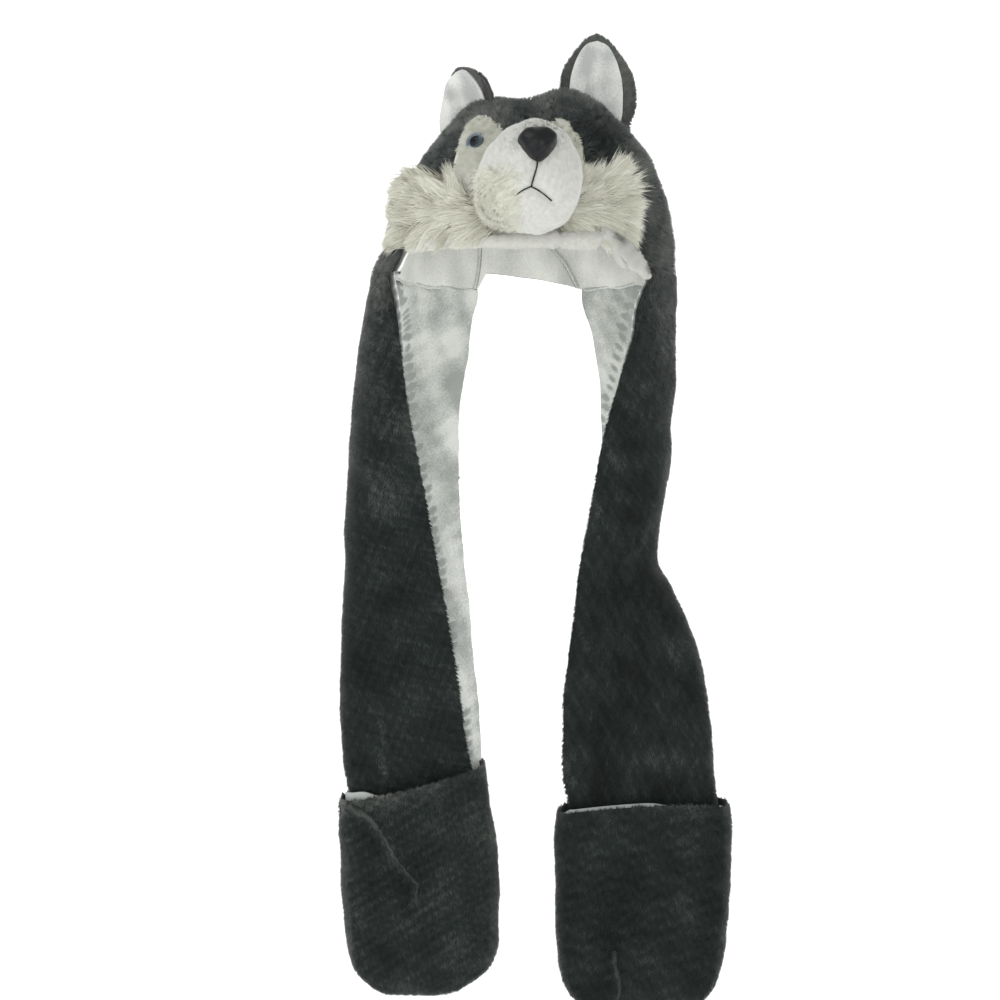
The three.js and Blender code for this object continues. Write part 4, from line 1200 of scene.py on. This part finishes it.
def ear_skin(ear, hems, depth, rows, columns):
    up = np.linspace(EAR_FOOT, 1, rows + 1)[:, None]
    across = np.linspace(-1, 1, columns + 1)[None]
    middle, half = ear_line(ear, hems, up)
    x = middle + across * half
    reach = x / (ear["width"] / 2)
    cup = (1 - reach**2) * (1 - 0.55 * up) - 0.12 * up
    thickness = depth * (1 - 0.45 * np.abs(across) ** 3)
    turn = ear_axes(ear)
    grid = vectors(x, ear["cup"] * cup + thickness, up * (ear["height"] - hems[2])) @ turn.T + ear["place"]
    return Skin(grid, outward=turn @ [0, 1, 0])


# Whether points lie well inside the crown, where no hair can be seen.
def buried(points):
    top = share_at(np.clip(points[..., 2], -150, CROWN_TOP - 0.01))
    turn = np.degrees(np.arctan2(points[..., 0], -points[..., 1])) % 360
    rim = crown_point(turn, top)
    return np.hypot(points[..., 0], points[..., 1]) < np.hypot(rim[..., 0], rim[..., 1]) - 4


def ear_pieces(side, seed):
    ear = EARS[side]
    hems = ear["hems"]
    rows, columns = 40, 36
    back = ear_skin(ear, NO_HEM, 5.2, rows, columns)
    front = ear_skin(ear, NO_HEM, 1.6, rows, columns)
    cloth = wall(f"ear_cloth_{side}", back, front, ear_plush)
    set_tone(cloth, 0.35)
    axes = ear_axes(ear)
    middle = np.array(ear["place"]) + axes @ [0, 0, 0.45 * ear["height"]]
    outwards = unit(back.grid - middle)
    hair = pile(
        f"ear_pile_{side}", back, outwards + axes @ [0, 0, 0.8], ear_plush, seed,
        density=~buried(back.grid), tone=0.4,
    )
    up = np.linspace(EAR_FOOT, 1, rows + 1)[:, None]
    share = np.linspace(-1, 1, columns + 1)[None]
    lining_up = up * ear["height"] / (ear["height"] - hems[2])
    lining_middle, lining_half = ear_line(ear, hems, np.minimum(lining_up, 1))
    full_half = ear_line(ear, NO_HEM, up)[1]
    hem = (np.abs(share * full_half - lining_middle) > lining_half - 1) | (lining_up > 1)
    hem &= (share > 0) | (hems[0] > 3) | (lining_up > 1)
    rim_skin = Skin(front.grid, normals=-front.normals)
    rim = pile(
        f"ear_rim_{side}", rim_skin, outwards + axes @ [0, 0, 0.5], ear_plush, seed + 40,
        density=hem * ~buried(front.grid), tone=0.42,
    )
    lining_back = ear_skin(ear, hems, -0.4, rows, columns)
    lining_front = ear_skin(ear, hems, -2.6, rows, columns)
    fold = np.exp(-(((share + 0.2) / 0.1) ** 2)) * smooth(1 - up, 0.15, 0.6)
    edge = smooth(np.abs(share), 0.8, 1)
    soft = 0.9 * hills(lining_front.grid, 24, seed + 60) + 1.7 * fold + 0.6 * edge
    lining_front.grid = lining_front.grid - lining_front.normals * soft[..., None]
    lining = wall(f"ear_inner_{side}", lining_back, lining_front, ear_fleece_painted_shade)
    local = (points_of(lining) - np.array(ear["place"])) @ axes
    sideways, upward = local[:, 0] / ear["width"], local[:, 2] / ear["height"]
    # The lining is painted lighter towards its edges and tip, a painted highlight where the cup's rim catches the
    # light, and darker along a line beside its fold, a painted shade in the crease.
    painted_highlight = smooth(np.abs(sideways), 0.22, 0.42) + 0.5 * smooth(upward, 0.75, 0.95)
    crease_shade = np.exp(-(((sideways + 0.13) / 0.03) ** 2)) * (1 - smooth(upward, 0.3, 0.7))
    set_tone(lining, 0.5 * painted_highlight - 0.12 - 0.2 * crease_shade + 0.14 * hills(local, 22, seed + 61))
    dress("crown_plush", f"ear_fur_{side}", cloth, hair, rim)
    dress("fleece", f"ear_lining_{side}", lining)


for side, seed in (("left", 700), ("right", 800)):
    ear_pieces(side, seed)

# The scarf arms


# The level curve of a folded arm at a height: from its front hem round the fold to its back hem.
def fold_curve(rows, z):
    row = {name: float(along(rows, "z", name, z)) for name in ARM_COLUMNS.split()}
    way = math.copysign(1, row["edge"] - row["outer"])
    middle = 0.2 * (row["front"] + row["back"])
    parts = [np.array([[row["edge"], row["front"]]])]
    for hem, depth, towards_fold in (
        (row["edge"], row["front"] - middle, True),
        (row["inner"], row["back"] - middle, False),
    ):
        wide, deep = abs(hem - row["outer"]), abs(depth)
        radius = (wide * wide + deep * deep) / (2 * wide) if wide < deep else deep
        end = math.asin(deep / radius) if wide < deep else math.pi / 2
        angle = np.linspace(end, 0, 33) if towards_fold else np.linspace(0, end, 33)
        x = row["outer"] + way * radius * (1 - np.cos(angle))
        y = middle + math.copysign(1, depth) * radius * np.sin(angle)
        parts.append(np.stack([x, y], axis=1))
    parts.append(np.array([[row["inner"], row["back"]]]))
    return np.concatenate(parts)


# The turns are those of the stretch of the rim that the arm hangs from, from its front to its back hem. Deep is
# how much darker the fur gets below, and shaded is 1 where a shadow lies on its lower outer side.
ARMS = {
    "left": {
        "rows": LEFT_ARM_ROWS, "turns": (54.9, 155.3), "end": -668, "pocket": LEFT_POCKET_ROWS,
        "mouth": LEFT_MOUTH, "tone": 0.15, "deep": 0.03, "shaded": 0,
    },
    "right": {
        "rows": RIGHT_ARM_ROWS, "turns": (290.1, 199.7), "end": -662, "pocket": RIGHT_POCKET_ROWS,
        "mouth": RIGHT_MOUTH, "tone": 0.26, "deep": 0.09, "shaded": 1,
    },
}
# An arm is tucked into its pocket: over this height above the mouth, to this far inside the pocket's sides.
TUCK_HEIGHT = 45
TUCK_INSET = 11


def arm_skin(arm, rows, columns):
    turns = np.linspace(*arm["turns"], 80)
    rim = crown_point(turns, np.full(80, share_at(SIDE_RIM)))[:, :2]
    rim = resample(rim, columns)
    pocket = arm["pocket"]
    low, high = pocket["low"][0] + TUCK_INSET, pocket["high"][0] - TUCK_INSET
    mouth = min(arm["mouth"]["low"], arm["mouth"]["high"])
    grid = []
    for z in np.linspace(ARM_TOP, arm["end"], rows):
        fold = resample(fold_curve(arm["rows"], z), columns)
        share = smooth(ARM_TOP - z, 0, ARM_BLEND)
        line = rim + (fold - rim) * share
        tuck = smooth(mouth + TUCK_HEIGHT - z, 0, TUCK_HEIGHT)
        line[:, 0] += (np.clip(line[:, 0], low, high) - line[:, 0]) * tuck
        grid.append(np.concatenate([line, np.full((columns, 1), z)], axis=1))
    return Skin(np.array(grid))


# How deep the roots of the arms' and the pockets' pile lie under its tips
PILE_ROOT = 3.2
CREASE_WIDTH = 2.6
ARM_CREASES = {
    "right": [(-134, -560), (-133, -600), (-131, -640)],
    "left": [(112, -372), (104, -398), (88, -412)],
}
HEM_REACH = 2.6


def arm_pieces(side, seed):
    arm = ARMS[side]
    rows, columns = 104, 46
    skin = arm_skin(arm, rows, columns)
    z = skin.grid[..., 2]
    edge = np.linspace(-1, 1, columns)[None]
    folded = crease(skin.grid, ARM_CREASES[side], CREASE_WIDTH) * (skin.grid[..., 1] < 0)
    shape = 1.1 * hills(skin.grid, 70, seed) + 0.6 * hills(skin.grid, 28, seed + 1)
    outer = skin.moved(shape + 1.2 * smooth(1 - np.abs(edge), 0, 0.2))
    fur_skin = outer.moved(swell(skin.grid) + 1.6 * folded)
    fur_skin.normals = normals_of(fur_skin.grid, False)
    outer.normals = normals_of(outer.grid, False)
    root = fur_skin.moved(-PILE_ROOT)
    cloth = wall(f"arm_cloth_{side}", root, fur_skin.moved(-PILE_ROOT - BACKING), dark_plush)
    set_tone(cloth, 0.15)
    across = unit(np.gradient(skin.grid, axis=1))
    comb = across * (-1.5 * smooth(-edge, 0.86, 1.0))[..., None] + [0, 0.5, -1.0]
    mouth = arm["mouth"]
    bare = (z < min(mouth["low"], mouth["high"]) - 6) | (edge > 0.96)
    density = (1 + 0.8 * smooth(-edge, 0.9, 1)) * (1 - 0.6 * smooth(edge, 0.9, 0.97))
    tone = arm["tone"] - 0.1 * arm["shaded"] * smooth(skin.grid[..., 0], -132, -127) * smooth(-z, 540, 640)
    tone = tone + 0.14 * smooth(z, -330, -150) - arm["deep"] * smooth(-z, 330, 430)
    # The fur is painted lighter along its crease: a painted highlight on the raised fold.
    tone = tone + 0.06 * smooth(-edge, 0.75, 1) + 0.2 * folded + 0.09 * hills(skin.grid, 50, seed + 8)
    # The fur is painted lighter where it faces sideways: a painted sheen on its edges.
    tone = tone + 0.1 * smooth(np.abs(skin.normals[..., 0]), 0.6, 1)
    density = np.where(bare, 0.0, density)
    hair = pile(f"arm_pile_{side}", root, comb, dark_plush, seed + 2, density=density, tone=tone)
    near = ARM_PILE + 2 * GAP
    lining_out = outer.moved(-near)
    folds = 2.6 * hills(skin.grid * [1, 1, 0.4], 36, seed + 5) + 0.9 * hills(skin.grid, 17, seed + 6)
    pucker = 2.2 * hills(skin.grid * [1, 1, 0.2], 17, seed + 7) * smooth(z, -240, -155)
    soft = np.maximum(folds + pucker + 0.8, -LINING + 1.2)
    thick = LINING * (0.35 + 0.65 * smooth(1 - np.abs(edge), 0, 0.1))
    lining_in = outer.moved(-(near + thick) - soft * smooth(1 - np.abs(edge), 0, 0.12))
    last = lining_in.grid[:, -1] - lining_in.grid[:, -2]
    for layer, reach in ((lining_out, 0.4), (lining_in, 1.0)):
        layer.grid[:, -1] += reach * unit(last)
    lining = wall(f"arm_inner_{side}", lining_out, lining_in, lining_fleece)
    places = points_of(lining)
    # The lining's tone follows the same hills as its folds: painted shade on the folds.
    shade = hills(places * [1, 1, 0.4], 36, seed + 5) + 0.5 * hills(places, 17, seed + 6)
    # The lining is painted darker along its front hem: a painted shade where the fur beside it shades it.
    hem = np.concatenate([lining_out.grid[::2, 0], lining_in.grid[::2, 0]])[:, ::2]
    at_hem = np.linalg.norm(places[:, None, ::2] - hem[None], axis=2).min(axis=1) < HEM_REACH
    set_tone(lining, -0.15 * shade - 0.6 * at_hem)
    dress("dark_plush", f"arm_fur_{side}", cloth, hair)
    dress("fleece", f"arm_lining_{side}", lining)


for side, seed in (("left", 900), ("right", 1000)):
    arm_pieces(side, seed)

# The seams of the lining: a soft ridge where each arm is sewn to the hood, and the edges of the arms'
# linings as they run up over the back of the hood.

LINING_DEPTH = CROWN_PILE + GAP + LINING
BACK_SEAMS = [
    [(-44, -102), (-45, -112), (-46, -127), (-48, -140), (-50, -149)],
    [(22, -103), (29, -112), (39, -124), (46, -137), (52, -149)],
]


# The place on the hood's lining at a turn and a height.
def lining_place(turn, z, depth):
    point = crown_point(turn, share_at(z))
    inward = unit(-point * [1, 1, 0])
    return point + inward * depth


def back_place(x, z, depth):
    turns = np.linspace(110, 250, 1401)
    line = lining_place(turns, np.full(turns.shape, float(z)), depth)
    return line[np.argmin(np.abs(line[:, 0] - x))]


# The turns between which each arm is sewn to the hood
ARM_SEAMS = ((56, 153), (289, 203))
seam_paths = []
for start, end in ARM_SEAMS:
    turns = np.linspace(start, end, 60)
    path = lining_place(turns, np.full(60, float(SIDE_RIM)), LINING_DEPTH - 0.6)
    path[:, 2] += 0.8 * np.sin(turns / 3.1) - 0.3
    seam_paths.append(path)
lining_seams = thread("lining_seams", seam_paths, 1.7, lining_fleece)
edge_paths, shade_paths = [], []
for line in BACK_SEAMS:
    toward = 1.7 if line[0][0] < 0 else -1.7
    edge_paths.append([back_place(x, z, LINING_DEPTH + 0.6) for x, z in line])
    shade_paths.append([back_place(x + toward, z, LINING_DEPTH + 0.5) for x, z in line])
lining_edges = thread("lining_edges", edge_paths, 1.5, lining_fleece)
# A thin dark thread beside each of these edges stands for the shadow that the edge casts: a painted shadow.
edge_shadow_fleece = fleece("edge_shadow_fleece", (0.2, 0.21, 0.2), (0.3, 0.31, 0.3))
lining_edge_shadow = thread("lining_edge_shadow", shade_paths, 0.55, edge_shadow_fleece)
dress("fleece", None, lining_seams, lining_edges, lining_edge_shadow)

# The white plush lobe that ends the brim under the left cheek

LOBE = table("turn top bottom", [
    [25, -122, -128],
    [30, -124, -130],
    [35, -127, -141],
    [40, -133, -151],
    [45, -142, -157],
    [49.5, -153, -161],
])


def lobe_skin(rows, columns, distance):
    turns = np.linspace(LOBE["turn"][0], LOBE["turn"][-1], columns)
    share = np.linspace(0, 1, rows)[:, None]
    top, bottom = along(LOBE, "turn", "top", turns), along(LOBE, "turn", "bottom", turns)
    z = top + (bottom - top) * share
    grid = crown_point(np.broadcast_to(turns, z.shape), share_at(np.maximum(z, SIDE_RIM)))
    out = unit(grid * [1, 1, 0])
    along_it = np.linspace(0.04, 0.96, columns)
    full = distance * np.sin(math.pi * (0.04 + 0.9 * share)) ** 0.6 * np.sin(math.pi * along_it) ** 0.4
    grid = grid + out * full[..., None]
    grid[..., 2] = z
    return Skin(grid, outward=grid * [1, 1, 0])


# How far the lobe's outside and its back stand off the crown
LOBE_OUTSIDE, LOBE_BACK = 5.5, 0.4
lobe = lobe_skin(16, 30, LOBE_OUTSIDE)
lobe_cloth = wall("brim_lobe", lobe, lobe_skin(16, 30, LOBE_BACK), white_plush)
set_tone(lobe_cloth, 0.5)
lobe_hair = pile("brim_lobe_pile", lobe, (0.5, 0.4, -1), white_plush, 1300, tone=0.4)
dress("fleece", None, lobe_cloth, lobe_hair)

# The mitten pockets


def pocket_skin(arm, inset, rows, columns):
    pocket, mouth = arm["pocket"], arm["mouth"]
    bottom = pocket["z"][-1]
    top = max(mouth["low"], mouth["high"])
    share = np.linspace(0, 1, rows)
    z = top + (bottom - top) * np.sin(math.pi / 2 * share)
    low, high = along(pocket, "z", "low", z), along(pocket, "z", "high", z)
    depth = np.maximum(np.maximum(along(pocket, "z", "depth", z), 0) - inset, 0)
    narrow = np.minimum(inset, (high - low) / 2)
    low, high = low + narrow, high - narrow
    z = z + inset * (top - z) / (top - bottom)
    half = (high - low) / 2
    side = np.minimum(half, depth)
    angle = (np.arange(columns) + 0.5) * 2 * math.pi / columns
    flat = (half - side)[:, None] * np.clip(1.6 * np.cos(angle), -1, 1)
    x = ((low + high) / 2)[:, None] + flat + side[:, None] * np.cos(angle)
    y = POCKET_MIDDLE + depth[:, None] * np.sin(angle)
    place = np.clip((x - pocket["low"][0]) / (pocket["high"][0] - pocket["low"][0]), 0, 1)
    rim = mouth["low"] + (mouth["high"] - mouth["low"]) * place - mouth["dip"] * np.sin(math.pi * place)
    rim = rim + mouth["back_rise"] * (y > 0)
    fade = 1 - smooth(share, 0, 0.55)[:, None]
    return Skin(vectors(x, y, z[:, None] + (rim - top) * fade), wrap=True)


POCKET_CREASES = {
    "right": [
        (-166, -638), (-158, -641), (-143, -650), (-131.5, -665),
        (-120, -686), (-109, -699), (-101.5, -707), (-103, -724),
    ],
    "left": [(78, -770), (80, -786), (84, -800), (83, -814)],
}
FOLD_BOLDNESS = {"right": 1.0, "left": 0.4}
# Where the lining's edge shows along the front rim: it comes up and goes down between these widths.
POCKET_BANDS = {
    "right": {"front": ((-180, -174), (-158, -134)), "rise": 8},
    "left": {"front": ((28, 33), (112, 140)), "rise": 3.6},
}


# Pile along a pocket's fold, on a strip that is widest at its start; its tone is lighter along the strip's middle,
# a painted highlight on the fold's ridge.
def fold_pile(side, outer, seed):
    bold = FOLD_BOLDNESS[side]
    path = resample(np.array(POCKET_CREASES[side], float), 60)
    middle = np.array([(x, front_at(outer.grid, x, z) - 0.5, z) for x, z in path])
    sideways = unit(np.cross(np.gradient(middle, axis=0), [0, -1, 0]))
    done, across = np.linspace(0, 1, 60), np.linspace(-1, 1, 7)
    half = 0.9 + 3.4 * bold * smooth(1 - done, 0.55, 1) + 1.1 * np.sin(math.pi * done)
    strip = middle[:, None] + across[None, :, None] * (half[:, None] * sideways)[:, None]
    return pile(
        f"pocket_fold_{side}", Skin(strip, outward=np.array([0.0, -1.0, 0.0])), (0.5, 0, -0.9), dark_plush, seed,
        tone=0.12 + (0.26 + 0.14 * bold) * np.cos(math.pi / 2 * across), share=0.4 + 0.6 * bold,
    )


def pocket_pieces(side, seed):
    arm = ARMS[side]
    rows, columns = 46, 100
    skin = pocket_skin(arm, 0, rows, columns)
    facing = (skin.grid[..., 1] < POCKET_MIDDLE).astype(float)
    # Along each crease the pile is raised, with a painted highlight on its ridge. Beside it, lower down, the pile
    # sinks and carries a painted shadow.
    line = crease(skin.grid, POCKET_CREASES[side], 4) * facing
    painted_highlight = crease(skin.grid, POCKET_CREASES[side], CREASE_WIDTH) * facing
    beside = crease(skin.grid + [7, 0, 6], POCKET_CREASES[side], 8) * facing
    bold = FOLD_BOLDNESS[side]
    shape = 1.1 * hills(skin.grid, 60, seed) + 0.5 * hills(skin.grid, 25, seed + 1)
    change = shape * smooth(-skin.grid[..., 2], 610, 660) + 1 + bold * (3 * line - 3.6 * beside)
    down = np.linspace(0, 1, rows)[:, None]
    change = change * (1 - smooth(down, 0.85, 1))
    outer = skin.moved(change)
    outer.normals = normals_of(outer.grid, True)
    outer.normals[-4:] = skin.normals[-4:]
    root = outer.moved(-PILE_ROOT)
    cloth = wall(f"pocket_cloth_{side}", root, outer.moved(-PILE_ROOT - BACKING), dark_plush)
    set_tone(cloth, 0.15)
    top = smooth(1 - down, 0.94, 1)
    edge_sheen = smooth(np.abs(skin.normals[..., 0]), 0.5, 1) + smooth(down, 0.7, 1)
    bands = POCKET_BANDS[side]
    x, y = skin.grid[0, :, 0], skin.grid[0, :, 1]
    front_band = smooth(x, *bands["front"][0]) * (1 - smooth(x, *bands["front"][1])) * (y < 0)
    comb = vectors(0, 0.5, -1 + 1.7 * top * (1 - 0.3 * front_band))
    # The pile is painted lighter along its rim and where it faces sideways or towards its bottom: a painted sheen
    # on its edges.
    tone = arm["tone"] - 0.03 + 0.2 * top + 0.16 * edge_sheen + bold * (0.35 * painted_highlight - 0.12 * beside)
    hair = pile(
        f"pocket_pile_{side}", root, comb, dark_plush, seed + 2,
        density=1 + 1.2 * top * (1 - 0.5 * front_band), tone=tone + 0.1 * hills(skin.grid, 40, seed + 8),
    )
    fold_hair = fold_pile(side, outer, seed + 30)
    near = POCKET_PILE + 2 * GAP
    sunk = 1.4 * np.minimum(change, 0) - 0.8 * smooth(down, 0.03, 0.1)
    lining_out = pocket_skin(arm, near, rows, columns).moved(sunk)
    lining_in = pocket_skin(arm, near + LINING - GAP, rows, columns).moved(sunk)
    proud = bands["rise"] * front_band - 1.6 - 5 * (y > -8)
    for layer in (lining_out, lining_in):
        layer.grid[0, :, 2] += proud
    lining = wall(f"pocket_inner_{side}", lining_out, lining_in, lining_fleece)
    # The white lining is painted down to its fleece's darkest: painted shade on the lining inside the pocket's
    # mouth.
    set_tone(lining, -0.5)
    dress("dark_plush", f"mitten_pocket_{side}", cloth, hair, fold_hair)
    dress("fleece", f"pocket_lining_{side}", lining)


for side, seed in (("left", 1100), ("right", 1200)):
    pocket_pieces(side, seed)

# Floor, light and camera, in metres

FLOOR = -0.875
REACH = 14
WALL = 5.5
CORNER = 2.4


def backdrop():
    bend = np.linspace(0, math.pi / 2, 25)
    corner = zip(WALL - CORNER + CORNER * np.sin(bend), FLOOR + CORNER - CORNER * np.cos(bend))
    line = [(-REACH, FLOOR), *corner, (WALL, 9)]
    mesh = bpy.data.meshes.new("backdrop")
    points = [(x, y, z) for y, z in line for x in (-REACH, REACH)]
    faces = [(2 * i, 2 * i + 1, 2 * i + 3, 2 * i + 2) for i in range(len(line) - 1)]
    mesh.from_pydata(points, [], faces)
    mesh.polygons.foreach_set("use_smooth", [True] * len(faces))
    sweep = bpy.data.objects.new("backdrop", mesh)
    bpy.context.scene.collection.objects.link(sweep)
    paper = Paint("backdrop_paper").shade(
        Base_Color=(0.93, 0.93, 0.93, 1), Roughness=0.9, Specular_IOR_Level=0.1,
        Emission_Color=(1, 1, 1, 1), Emission_Strength=0.5,
    )
    mesh.materials.append(paper)


backdrop()

world = bpy.data.worlds.new("studio")
world.use_nodes = True
world.node_tree.nodes["Background"].inputs["Color"].default_value = (1, 1, 1, 1)
world.node_tree.nodes["Background"].inputs["Strength"].default_value = 0.66
bpy.context.scene.world = world
bpy.context.scene.view_settings.view_transform = "Standard"


def softbox(name, place, aim, size, power):
    light = bpy.data.lights.new(name, "AREA")
    light.energy = power
    light.size = size
    lamp = bpy.data.objects.new(name, light)
    bpy.context.scene.collection.objects.link(lamp)
    lamp.location = place
    lamp.rotation_mode = "QUATERNION"
    lamp.rotation_quaternion = (Vector(aim) - Vector(place)).to_track_quat("-Z", "Y")


softbox("key", (-1.3, -1.9, 1.5), (0, 0, -0.25), 1.2, 20)
softbox("front", (0.1, -2.4, -0.7), (0, 0, -0.25), 1.5, 16)

camera_data = bpy.data.cameras.new("camera")
camera = bpy.data.objects.new("camera", camera_data)
bpy.context.scene.collection.objects.link(camera)
camera_data.lens = 65.8
camera_data.sensor_width = 36
camera.location = (-0.025, -1.7, -0.358)
camera.rotation_euler = (math.radians(90), 0, 0)
bpy.context.scene.camera = camera
